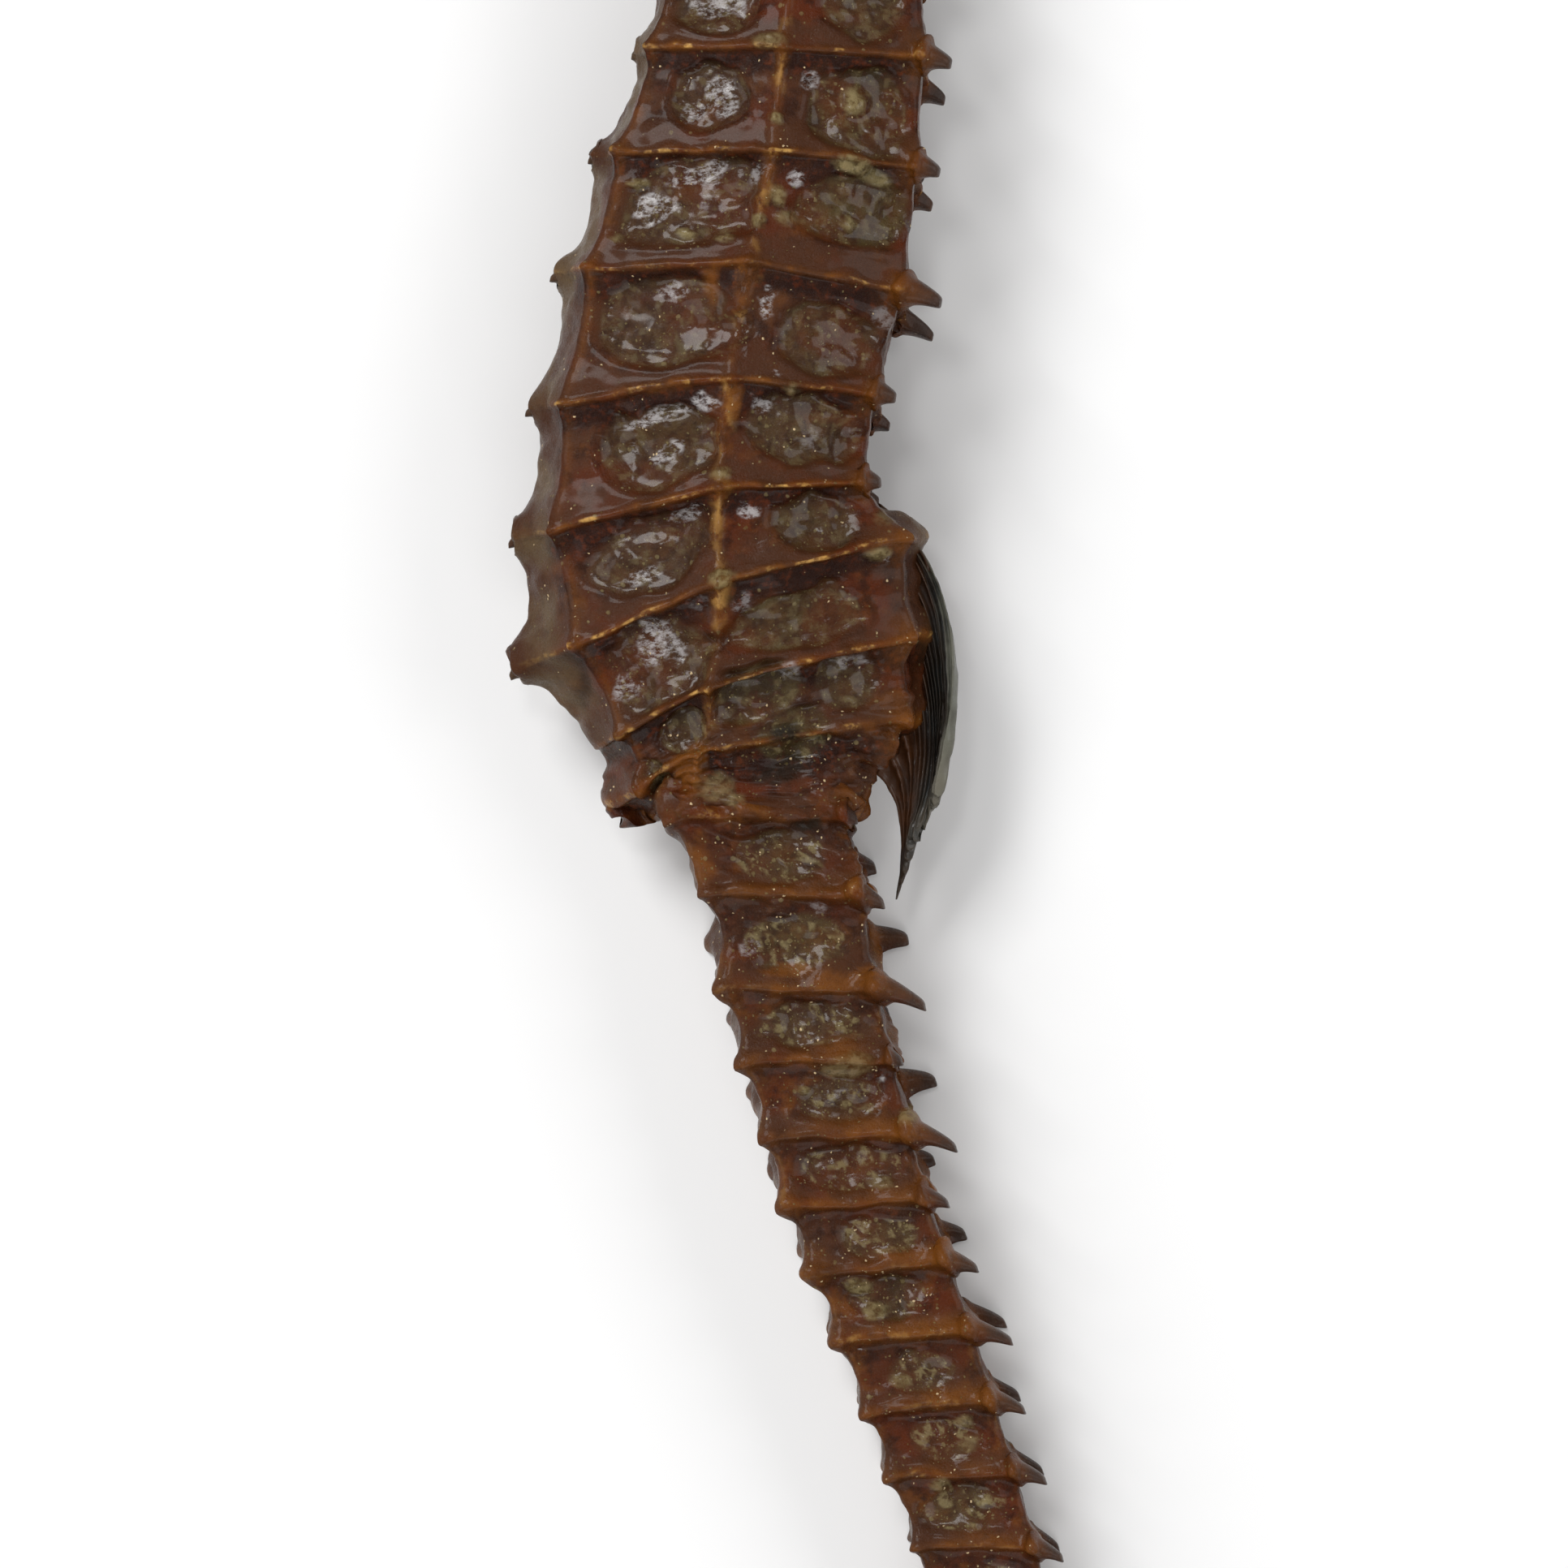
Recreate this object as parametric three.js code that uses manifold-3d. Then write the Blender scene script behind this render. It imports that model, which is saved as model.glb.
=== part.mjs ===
// A dried seahorse, lying flat on its right side as it was dried: head with snout, crown and eyes,
// neck, armoured trunk, fins, and a tail that ends in a curl. The left side faces up.
// Millimetres, +Z up from the surface it lies on. The head is towards +Y and the back towards +X.
// The origin is on that surface, under the middle of the outline.
import * as THREE from "three";
import { mergeVertices } from "three/addons/utils/BufferGeometryUtils.js";
import Module from "manifold-3d";

const wasm = await Module();
wasm.setup();

// Driving dimensions
const OUTLINE_MIDDLE = [-9.18, 1.92]; // the outline's middle, in the frame that the tables below use
const JOINT_GAP = 0.3; // between neighbouring pieces

// Sections from the head's rear (four rows of neck) through the eleven trunk rings. Each row:
// side ridge x, y; reach to the keel and its slant; reach to the back ridge and its slant (degrees,
// positive towards the tail); half width; height of the middle plane; and the share of the belly's
// reach at which the lower ridge stands.
const BODY_ROWS = [
  [-2.59, 45.04, 5.1, 102, 5.0, -102, 3.9, 4.5, 0.8],
  [-0.78, 44.22, 4.48, 77.4, 4.48, -77.4, 3.6, 4.5, 0.82],
  [0.62, 42.55, 4.12, 47.7, 4.12, -47.7, 3.4, 4.5, 0.85],
  [0.92, 40.38, 4.08, 20.4, 4.08, -20.4, 3.35, 4.5, 0.88],
  [0.28, 37.85, 4.25, 2, 4.43, -3, 3.5, 4.5, 0.92],
  [0.43, 34.84, 4.84, 0, 4.9, -1, 3.65, 4.48, 0.93],
  [0.34, 31.5, 5.24, 0, 5.3, 1.5, 3.85, 4.42, 0.93],
  [0.03, 27.84, 5.64, -0.6, 5.62, 3.2, 4.1, 4.36, 0.93],
  [-0.28, 23.96, 6.88, 0, 5.7, 5.9, 4.3, 4.32, 0.9],
  [-1.18, 19.72, 7.38, 2, 6.13, 11, 4.42, 4.3, 0.87],
  [-1.89, 15.38, 7.67, 8, 5.72, 6.9, 4.45, 4.3, 0.88],
  [-2.29, 11.25, 8.1, 13.5, 5.61, -1.6, 4.45, 4.3, 0.85],
  [-2.42, 7.69, 8.8, 23.7, 7.64, -13.1, 4.35, 4.22, 0.7],
  [-2.98, 3.69, 5.02, 28.8, 8.46, -13.8, 3.95, 3.9, 0.74],
  [-3.41, 1.27, 3.94, 31.8, 8.69, -8.8, 3.55, 3.5, 0.6],
];
const NECK_ROWS = 4;
const TRUNK_RINGS = BODY_ROWS.length - NECK_ROWS;

// The tail: its first ring, the pitch and heading of the rings that lie nearly straight, and the curl.
const TAIL_RINGS = 35;
const TAIL_START = [-0.5, -1.24];
const STRAIGHT_PITCHES = [2.98, 3.69, 2.79, 2.95, 2.67, 2.67, 2.79, 2.82, 2.76, 2.91];
const STRAIGHT_HEADINGS = [12, 9.7, 14.2, 14.6, 14.8, 20.3, 20, 19.2, 19, 17.3]; // degrees from -Y
const CURL_PITCH = [2.87, 1.15]; // at the start and the tip
const CURL_TURN = [6, 30]; // degrees at each ring, at the start and the tip
const TAIL_HALF_DEPTH = [3.33, 0.45]; // first and last ring
const TAIL_HALF_WIDTH_SHARE = 0.95;
const TAIL_SINK = 0.12; // how far the ring corners are flattened where they lie on the surface
const RING_SKEW = [12, 16]; // degrees by which the straight rings' back edge trails
const TAIL_TIP_RINGS = 1.2; // length of the pointed tip, in pitches
const VENT_FULLNESS = 0.75; // how much deeper the first tail ring reaches, behind the vent

// How far a ring's far side (the right) trails its near side, as a slope, from head to tail tip.
const LEAN_STATIONS = [
  [0, 0], [6, 0.12], [7, 0.16], [10, 0.14], [12, 0.03], [15, -0.08], [17, -0.29],
  [19, -0.3], [21, -0.16], [22, -0.05], [24, 0],
];

// Where a section's named points stand, as shares of the half width.
const WIDTH_SHARE = { keel: 0, lower: 0.62, side: 1, tailBack: 0.93, back: 0.66, spine: 0 };
const MID_BACK_SHARE = 0.94; // the groove between the two back ridges, as a share of their reach
const RIDGE_SAG = 0.28; // how far ridges dip between two rings
const PLATE_HOLLOW = 0.5; // how far the plates sink between the ridges

// Spines in millimetres, for trunk rings 1 to 11 and tail rings 1 to 28.
const KEEL_BUMPS = [0.25, 0.25, 0.3, 0.3, 0.35, 0.45, 0.45, 0.5, 0.45, 0, 0];
const BACK_SPINES = [0.8, 0.75, 0.8, 0.9, 0.75, 1.3, 0.6, 0.4, 0, 0, 0];
const TAIL_SPINES = [0.35, 0.75, 1.6, 0.35, 1.5, 0.75, 0.95, 1.3, 1.0, 1.0, 0.9, 0.6, 1.1, 0.55, 0.95];
const TAIL_SPINE_RINGS = 28;
const BACK_SWEEP = 5; // degrees towards the tail
const TAIL_SWEEP = 20;
const FAR_SPINE_LIFT = 0.3; // spines of the side that lies down start this much higher

// Head, measured from the tip of the snout: distance, top, bottom and half width of each section.
const SNOUT_TIP = [-29.6, 39.3];
const HEAD_TILT = 12; // degrees, snout down
const HEAD_PLANE = 4.5;
const SNOUT_ROWS = [
  [0, 0.95, -0.75, 0.8],
  [0.5, 1.5, -1.35, 1.3],
  [1.3, 1.45, -1.4, 1.35],
  [2.6, 1.15, -1.15, 1.12],
  [7, 1.1, -1.2, 1.1],
  [10.5, 1.4, -1.5, 1.35],
  [12.55, 1.95, -2.05, 1.85],
];
const HEAD_ROWS = [
  [12.85, 2.05, -2.15, 1.95],
  [14.6, 3.1, -2.75, 2.6],
  [16.9, 4.3, -3.5, 3.2],
  [19.4, 4.85, -4.5, 3.6],
  [21.6, 5.3, -5.2, 4.25],
  [23.8, 5.4, -5.6, 4.6],
  [25.8, 5.25, -5.5, 4.5],
  [27.45, 5.0, -5.1, 3.95],
];
const HEAD_SIDES = 14;
const EYE = { along: 16.9, up: 1.3, out: 2.55, radius: 2.0, depth: 1.25 };
const ORBIT_RIM = 0.42;
const CROWN = { along: 24.0, base: 5.75, radius: 1.45, height: 2.5, flare: 1.35, points: 5, point: 1.3 };
const NOSTRIL = { along: 14.5, up: 1.7, radius: 0.28 };

// Fins
const FIN_MEMBRANE = 0.5; // thickness
const FIN_RAY = 0.8; // thickness on a ray
const BACK_FIN_RAYS = 13;
const SIDE_FIN_RAYS = 9;
const VENT_FIN_RAYS = 4;

const rad = THREE.MathUtils.degToRad;
const lerp = THREE.MathUtils.lerp;

// A value from a table of [position, value] rows, read between the rows.
function readTable(rows, at) {
  if (at <= rows[0][0]) return rows[0][1];
  for (let i = 1; i < rows.length; i++) {
    const [from, low] = rows[i - 1];
    const [to, high] = rows[i];
    if (at <= to) return lerp(low, high, (at - from) / (to - from));
  }
  return rows[rows.length - 1][1];
}

// Stations: 0 to 3 are the neck, then trunk rings 1 to 11, then tail rings 1 to 35.

function bodyStation(row) {
  const [x, y, belly, bellySlant, back, backSlant, halfWidth, plane, lowerShare] = row;
  const down = [-Math.cos(rad(bellySlant)), -Math.sin(rad(bellySlant))];
  const up = [Math.cos(rad(backSlant)), -Math.sin(rad(backSlant))];
  const point = (way, reach, share) => [x + way[0] * reach, y + way[1] * reach, halfWidth * share];
  return {
    keel: point(down, belly, WIDTH_SHARE.keel),
    lower: point(down, belly * lowerShare, WIDTH_SHARE.lower),
    side: point(down, 0, WIDTH_SHARE.side),
    tailBack: point(up, back * 0.5, WIDTH_SHARE.tailBack),
    back: point(up, back, WIDTH_SHARE.back),
    spine: point(up, back * MID_BACK_SHARE, WIDTH_SHARE.spine),
    middle: [x + (down[0] * belly + up[0] * back) / 2, y + (down[1] * belly + up[1] * back) / 2],
    plane,
    hollow: PLATE_HOLLOW,
    sag: RIDGE_SAG,
  };
}

function tailStations() {
  const stations = [];
  let [x, y] = TAIL_START;
  let heading = STRAIGHT_HEADINGS[0];
  for (let ring = 1; ring <= TAIL_RINGS; ring++) {
    const share = (ring - 1) / (TAIL_RINGS - 1);
    const curl = Math.max(0, (ring - 11) / (TAIL_RINGS - 11));
    const half = lerp(TAIL_HALF_DEPTH[0], TAIL_HALF_DEPTH[1], share);
    const width = half * TAIL_HALF_WIDTH_SHARE;
    const skew = ring < 12 ? lerp(RING_SKEW[0], RING_SKEW[1], (ring - 1) / 10) : RING_SKEW[1] * Math.max(0, 1 - curl * 5);
    const next = STRAIGHT_HEADINGS[ring - 1] ?? heading - lerp(CURL_TURN[0], CURL_TURN[1], curl ** 0.9);
    const across = rad((heading + next) / 2 - skew);
    const way = [Math.cos(across), Math.sin(across)];
    const full = ring === 1 ? VENT_FULLNESS : 0;
    const point = (reach, wide) => {
      const out = reach < 0 ? reach - full : reach;
      return [x + way[0] * out, y + way[1] * out, width * wide];
    };
    const scale = half / TAIL_HALF_DEPTH[0];
    stations.push({
      keel: point(-half + 0.25 * scale, 0),
      lower: point(-half + 0.12 * scale, 0.55),
      side: point(-half, 1),
      tailBack: point(half, 1),
      back: point(half - 0.14 * scale, 0.55),
      spine: point(half - 0.3 * scale, 0),
      middle: [x, y],
      plane: width - TAIL_SINK * scale,
      hollow: 0.42 * scale,
      sag: 0.3 * scale,
    });
    heading = next;
    const pitch = STRAIGHT_PITCHES[ring - 1] ?? lerp(CURL_PITCH[0], CURL_PITCH[1], curl);
    x += pitch * Math.sin(rad(heading));
    y -= pitch * Math.cos(rad(heading));
  }
  return stations;
}

const STATIONS = [...BODY_ROWS.map(bodyStation), ...tailStations()];
const TAIL_FIRST = BODY_ROWS.length;
const LAST = STATIONS.length - 1;

// The unit vector towards the tail tip at a station.
function alongAt(station) {
  const before = Math.max(0, Math.floor(station - 0.5));
  const after = Math.min(LAST, Math.max(before + 1, Math.ceil(station + 0.5)));
  const [x0, y0] = STATIONS[before].middle;
  const [x1, y1] = STATIONS[after].middle;
  const length = Math.hypot(x1 - x0, y1 - y0);
  return [(x1 - x0) / length, (y1 - y0) / length];
}

// A named point of the section at any station, on the near side (+1) or the far side (-1), pushed
// inwards by sag from the section's middle and by hollow from its side.
function sectionPoint(station, name, side = 1) {
  const low = Math.min(LAST - 1, Math.max(0, Math.floor(station)));
  const f = Math.min(1, Math.max(0, station - low));
  const a = STATIONS[low];
  const b = STATIONS[low + 1];
  const value = (key) => lerp(a[key], b[key], f);
  const between = Math.sin(Math.PI * f);
  const middle = [lerp(a.middle[0], b.middle[0], f), lerp(a.middle[1], b.middle[1], f)];
  const named = (key) => a[key].map((v, i) => lerp(v, b[key][i], f));
  const mix = (from, to, share) => named(from).map((v, i) => lerp(v, named(to)[i], share));
  const hollow = value("hollow") * between;
  const sag = value("sag") * between;
  let p;
  let inwards = sag;
  let narrower = sag * 0.8;
  if (name === "keelPlate") p = mix("keel", "lower", 0.5);
  else if (name === "lowerPlate") {
    p = mix("lower", "side", 0.5);
    p[2] += 0.1;
    narrower = hollow;
  } else if (name === "sidePlate") {
    p = mix("side", "tailBack", 0.5);
    p[2] -= 0.25 * value("hollow");
    narrower = hollow;
  } else p = named(name);
  if (name === "tailBack" && station < TAIL_FIRST - 3.5) narrower = hollow;
  const reach = Math.hypot(p[0] - middle[0], p[1] - middle[1]) || 1;
  const pull = 1 - Math.min(0.5, inwards / Math.max(reach, 2 * inwards + 0.01));
  const wide = Math.max(0, p[2] - narrower) * side;
  const along = alongAt(station);
  const trail = readTable(LEAN_STATIONS, station) * Math.max(0, -2 * wide);
  return [
    middle[0] + (p[0] - middle[0]) * pull + along[0] * trail - OUTLINE_MIDDLE[0],
    middle[1] + (p[1] - middle[1]) * pull + along[1] * trail - OUTLINE_MIDDLE[1],
    value("plane") + wide,
  ];
}

const TRUNK_LOOP = ["keelPlate", "lower", "lowerPlate", "side", "tailBack", "back"];
const TAIL_LOOP = ["side", "sidePlate", "tailBack"];

// One closed section: up the near side from keel to spine, and back down the far side.
function section(station, names) {
  const near = names.map((name) => sectionPoint(station, name, 1));
  const far = names.map((name) => sectionPoint(station, name, -1)).reverse();
  return [sectionPoint(station, "keel"), ...near, sectionPoint(station, "spine"), ...far];
}

// A closed solid from points and triangles, turned the right way out.
function solidOf(points, triangles) {
  const build = (faces) =>
    new wasm.Manifold(
      new wasm.Mesh({
        numProp: 3,
        vertProperties: new Float32Array(points.flat()),
        triVerts: new Uint32Array(faces.flat()),
      }),
    );
  const made = build(triangles);
  return made.volume() > 0 ? made : build(triangles.map(([a, b, c]) => [a, c, b]));
}

// A solid skinned over closed loops of equal length, closed at each end by a fan.
function loft(loops) {
  const sides = loops[0].length;
  const points = loops.flat();
  const triangles = [];
  for (let ring = 0; ring + 1 < loops.length; ring++)
    for (let i = 0; i < sides; i++) {
      const a = ring * sides + i;
      const b = ring * sides + ((i + 1) % sides);
      triangles.push([a, b, b + sides], [a, b + sides, a + sides]);
    }
  const cap = (start, flip) => {
    const centre = points.length;
    const loop = points.slice(start, start + sides);
    points.push([0, 1, 2].map((axis) => loop.reduce((sum, p) => sum + p[axis], 0) / sides));
    for (let i = 0; i < sides; i++) {
      const a = start + i;
      const b = start + ((i + 1) % sides);
      triangles.push(flip ? [a, centre, b] : [a, b, centre]);
    }
  };
  cap(0, true);
  cap((loops.length - 1) * sides, false);
  return solidOf(points, triangles);
}

// A round horn along a path of points, with a radius at each but the last, where it ends in a tip.
function horn(path, radii, sides) {
  const points = [];
  const triangles = [];
  const way = new THREE.Vector3(...path[path.length - 1]).sub(new THREE.Vector3(...path[0])).normalize();
  const helper = Math.abs(way.z) > 0.9 ? new THREE.Vector3(1, 0, 0) : new THREE.Vector3(0, 0, 1);
  const u = new THREE.Vector3().crossVectors(way, helper).normalize();
  const v = new THREE.Vector3().crossVectors(way, u);
  radii.forEach((radius, ring) => {
    for (let i = 0; i < sides; i++) {
      const turn = ((i + 0.5) / sides) * 2 * Math.PI;
      const p = new THREE.Vector3(...path[ring])
        .addScaledVector(u, radius * Math.cos(turn))
        .addScaledVector(v, radius * Math.sin(turn));
      points.push(p.toArray());
      if (ring > 0) {
        const a = (ring - 1) * sides + i;
        const b = (ring - 1) * sides + ((i + 1) % sides);
        triangles.push([a, b, b + sides], [a, b + sides, a + sides]);
      }
    }
  });
  const top = (radii.length - 1) * sides;
  points.push(path[path.length - 1]);
  for (let i = 0; i < sides; i++) triangles.push([top + i, top + ((i + 1) % sides), points.length - 1]);
  for (let i = 1; i + 1 < sides; i++) triangles.push([0, i + 1, i]);
  return solidOf(points, triangles);
}

// A spine on a ridge at a ring, swept towards the tail, with its root sunk into the body.
function spine(station, name, side, length, radius, sweep, spread, sides = 4) {
  const base = sectionPoint(station, name, side);
  const centre = STATIONS[station].middle.map((v, i) => v - OUTLINE_MIDDLE[i]);
  const out = new THREE.Vector2(base[0] - centre[0], base[1] - centre[1]).normalize();
  const along = alongAt(station);
  const way = new THREE.Vector3(
    out.x * Math.cos(rad(sweep)) + along[0] * Math.sin(rad(sweep)),
    out.y * Math.cos(rad(sweep)) + along[1] * Math.sin(rad(sweep)),
    spread * side,
  ).normalize();
  const start = new THREE.Vector3(...base);
  if (side < 0) start.z += FAR_SPINE_LIFT;
  const root = start.clone().addScaledVector(new THREE.Vector3(out.x, out.y, spread * side), -radius * 1.2);
  const waist = start.clone().addScaledVector(way, length * 0.4);
  waist.x += out.x * length * 0.1;
  waist.y += out.y * length * 0.1;
  const tip = start.clone().addScaledVector(way, length);
  return horn([root, waist, tip].map((p) => p.toArray()), [radius * 1.3, radius * 0.55], sides);
}

function spinesBetween(from, to) {
  const made = [];
  for (let station = Math.ceil(from); station < to; station++) {
    const ring = station - NECK_ROWS;
    const tailRing = station - TAIL_FIRST;
    if (ring < 0) continue;
    if (tailRing < 0) {
      if (KEEL_BUMPS[ring] > 0) made.push(spine(station, "keel", 1, KEEL_BUMPS[ring], 0.75, 0, 0, 5));
      if (BACK_SPINES[ring] > 0)
        for (const side of [1, -1])
          made.push(spine(station, "back", side, BACK_SPINES[ring], 0.62, BACK_SWEEP, side > 0 ? 0.25 : 0.05, 5));
    } else if (tailRing < TAIL_SPINE_RINGS) {
      const fade = lerp(1, 0.3, tailRing / TAIL_SPINE_RINGS);
      const length = TAIL_SPINES[tailRing] ?? TAIL_SPINES[9 + (tailRing % 6)] * fade * 1.1;
      const radius = lerp(0.62, 0.3, tailRing / TAIL_SPINE_RINGS);
      for (const side of [1, -1])
        made.push(spine(station, "tailBack", side, length, radius, TAIL_SWEEP, side > 0 ? 0.2 : -0.03));
    }
  }
  return made;
}

// Joins a core and its pieces, flattens what would pass below the surface, and keeps one body.
function fuse(core, pieces = []) {
  const joined = pieces.reduce((sum, piece) => sum.add(piece), core).trimByPlane([0, 0, 1], 0);
  return joined.decompose().sort((a, b) => b.volume() - a.volume())[0];
}

// A length of the body between two stations, with half the joint's gap taken off each end.
function bodyLength(from, to, names, steps) {
  const pitchAt = (station) => {
    const low = Math.min(LAST - 1, Math.floor(station));
    const [x0, y0] = STATIONS[low].middle;
    const [x1, y1] = STATIONS[low + 1].middle;
    return Math.hypot(x1 - x0, y1 - y0);
  };
  const start = from + JOINT_GAP / 2 / pitchAt(from);
  const end = to >= LAST ? LAST : to - JOINT_GAP / 2 / pitchAt(to - 0.01);
  const stops = [start];
  for (let ring = Math.floor(from); ring <= to; ring++)
    for (const f of steps) if (ring + f > start + 0.08 && ring + f < end - 0.08) stops.push(ring + f);
  stops.push(end);
  return stops.map((stop) => section(stop, names));
}

const NECK_STEPS = [0, 0.5];
const TRUNK_STEPS = [0, 0.2, 0.55, 0.85];
const TAIL_STEPS = [0, 0.22, 0.62];

function trunkPiece(from, to, steps = TRUNK_STEPS) {
  return fuse(loft(bodyLength(from, to, TRUNK_LOOP, steps)), spinesBetween(from, to));
}

function tailPiece(from, to) {
  const loops = bodyLength(from, to, TAIL_LOOP, TAIL_STEPS);
  if (to >= LAST) {
    const [x, y] = alongAt(LAST);
    const reach = CURL_PITCH[1] * TAIL_TIP_RINGS;
    const last = loops[loops.length - 1];
    const middle = [0, 1, 2].map((axis) => last.reduce((sum, p) => sum + p[axis], 0) / last.length);
    loops.push(
      last.map((p) => [
        lerp(middle[0], p[0], 0.3) + x * reach,
        lerp(middle[1], p[1], 0.3) + y * reach,
        lerp(middle[2], p[2], 0.3) - 0.15,
      ]),
    );
  }
  return fuse(loft(loops), spinesBetween(from, to));
}

// A point of the head, from its distance behind the snout's tip, its height and its place across.
function headPoint(along, up, across) {
  const c = Math.cos(rad(HEAD_TILT));
  const s = Math.sin(rad(HEAD_TILT));
  return [
    SNOUT_TIP[0] + along * c - up * s - OUTLINE_MIDDLE[0],
    SNOUT_TIP[1] + along * s + up * c - OUTLINE_MIDDLE[1],
    HEAD_PLANE + across,
  ];
}

// A rounded section of the head or snout.
function headLoop([along, top, bottom, halfWidth]) {
  const round = (v) => Math.sign(v) * Math.abs(v) ** 0.85;
  return Array.from({ length: HEAD_SIDES }, (_, i) => {
    const turn = (i / HEAD_SIDES) * 2 * Math.PI;
    const up = (top + bottom) / 2 + ((top - bottom) / 2) * round(Math.sin(turn));
    return headPoint(along, up, halfWidth * round(Math.cos(turn)));
  });
}

// A three.js geometry as a solid, stretched and set into the head's own directions.
function headShape(geometry, stretch, along, up, across) {
  const plain = geometry.clone();
  plain.deleteAttribute("normal");
  plain.deleteAttribute("uv");
  const turn = new THREE.Matrix4().makeRotationZ(rad(HEAD_TILT));
  turn.setPosition(...headPoint(along, up, across));
  const merged = mergeVertices(plain.scale(...stretch).applyMatrix4(turn), 1e-4);
  const position = merged.getAttribute("position");
  const points = Array.from({ length: position.count }, (_, i) => [position.getX(i), position.getY(i), position.getZ(i)]);
  const index = merged.index.array;
  const triangles = Array.from({ length: index.length / 3 }, (_, i) => [...index.slice(3 * i, 3 * i + 3)]);
  return solidOf(points, triangles);
}

function headHorn(along, up, across, [forward, rise, out], radius, sink = 0.8) {
  const way = [-forward, rise, out];
  const at = (reach) => headPoint(along + way[0] * reach, up + way[1] * reach, across + way[2] * reach);
  return horn([at(-sink), at(0.4), at(1)], [radius * 1.4, radius * 0.6], 5);
}

const bothSides = (make) => [1, -1].map(make);

function makeHead() {
  const ball = new THREE.SphereGeometry(1, 12, 8);
  const rim = new THREE.TorusGeometry(EYE.radius + ORBIT_RIM, ORBIT_RIM, 5, 14);
  const added = [
    headShape(new THREE.CylinderGeometry(CROWN.radius, CROWN.radius + 0.5, 2.6, 12), [1, 1, 1], CROWN.along, CROWN.base - 1.6, 0),
    headHorn(14.6, 2.9, 0, [0.3, 0.9, 0], 0.5),
    ...bothSides((side) => headShape(rim, [1, 1, 1], EYE.along, EYE.up, side * (EYE.out + 0.45))),
    ...bothSides((side) => headHorn(17.6, 3.7, side * 2.7, [-0.1, 1.0, 0.35 * side], 0.45)),
    ...bothSides((side) => headHorn(20.2, -3.7, side * 3.1, [0.1, -0.8, 0.3 * side], 0.5)),
    ...bothSides((side) => headHorn(24.6, -5.0, side * 1.9, [-0.2, -0.6, 0.2 * side], 0.5)),
  ];
  const cut = [
    ...bothSides((side) =>
      headShape(
        ball,
        [EYE.radius + JOINT_GAP, EYE.radius + JOINT_GAP, EYE.depth + JOINT_GAP],
        EYE.along,
        EYE.up,
        side * EYE.out,
      ),
    ),
    ...bothSides((side) =>
      headShape(new THREE.SphereGeometry(1, 8, 6), [0.34, NOSTRIL.radius, 0.5], NOSTRIL.along, NOSTRIL.up, side * 2.35),
    ),
  ];
  const whole = added.reduce((sum, piece) => sum.add(piece), loft(HEAD_ROWS.map(headLoop)));
  return fuse(cut.reduce((sum, piece) => sum.subtract(piece), whole));
}

function makeSnout() {
  const mouth = headShape(new THREE.BoxGeometry(2.2, 0.35, 4), [1, 1, 1], 0.25, 0.35, 0);
  return fuse(loft(SNOUT_ROWS.map(headLoop)).subtract(mouth));
}

function makeEye(side) {
  const ball = new THREE.SphereGeometry(1, 12, 8);
  return fuse(headShape(ball, [EYE.radius, EYE.radius, EYE.depth], EYE.along, EYE.up, side * EYE.out));
}

function makeCrown() {
  const rows = [
    [0, 1],
    [0.45, 0.86],
    [0.8, 1.0],
    [1, CROWN.flare],
  ];
  const base = CROWN.base + JOINT_GAP - 0.3;
  const sides = 2 * CROWN.points;
  const loops = rows.map(([share, wide]) =>
    Array.from({ length: sides }, (_, i) => {
      const turn = (i / sides) * 2 * Math.PI;
      const flute = share > 0.6 && i % 2 ? 0.78 : 1;
      const reach = CROWN.radius * wide * flute;
      return headPoint(CROWN.along + reach * Math.cos(turn), base + CROWN.height * share, reach * Math.sin(turn));
    }),
  );
  const points = Array.from({ length: CROWN.points }, (_, i) => {
    const turn = (i / CROWN.points) * 2 * Math.PI;
    const reach = CROWN.radius * 1.15;
    const way = [-Math.cos(turn) * CROWN.point * 0.7, CROWN.point * 0.75, Math.sin(turn) * CROWN.point * 0.7];
    return headHorn(
      CROWN.along + reach * Math.cos(turn),
      base + CROWN.height * 0.85,
      reach * Math.sin(turn),
      way,
      0.38,
      0.3,
    );
  });
  return fuse(loft(loops), points);
}

// A fan of rays joined by membrane. rayPoint(t, s) gives a point at share s along the ray at t, and
// normalAt(t, s) the direction in which it is thick.
function fan(rays, rows, rayPoint, normalAt) {
  const columns = 2 * rays - 1;
  const points = [];
  for (const face of [1, -1])
    for (let row = 0; row <= rows; row++)
      for (let column = 0; column < columns; column++) {
        const t = column / (columns - 1);
        const s = row / rows;
        const thick = (column % 2 ? FIN_MEMBRANE : FIN_RAY) * lerp(1, 0.62, s ** 3);
        const p = new THREE.Vector3(...rayPoint(t, s));
        points.push(p.addScaledVector(normalAt(t, s), (face * thick) / 2).toArray());
      }
  const layer = (rows + 1) * columns;
  const triangles = [];
  for (let row = 0; row < rows; row++)
    for (let column = 0; column + 1 < columns; column++) {
      const a = row * columns + column;
      const [b, c, d] = [a + 1, a + columns + 1, a + columns];
      triangles.push([a, b, c], [a, c, d], [a + layer, c + layer, b + layer], [a + layer, d + layer, c + layer]);
    }
  const wall = (a, b) => triangles.push([b, a, a + layer], [b, a + layer, b + layer]);
  for (let column = 0; column + 1 < columns; column++) {
    wall(column, column + 1);
    wall(rows * columns + column + 1, rows * columns + column);
  }
  for (let row = 0; row < rows; row++) {
    wall((row + 1) * columns, row * columns);
    wall((row + 1) * columns - 1, (row + 2) * columns - 1);
  }
  return solidOf(points, triangles);
}

function bend(a, b, c, s) {
  return [0, 1].map((i) => (1 - s) ** 2 * a[i] + 2 * s * (1 - s) * b[i] + s * s * c[i]);
}

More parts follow.
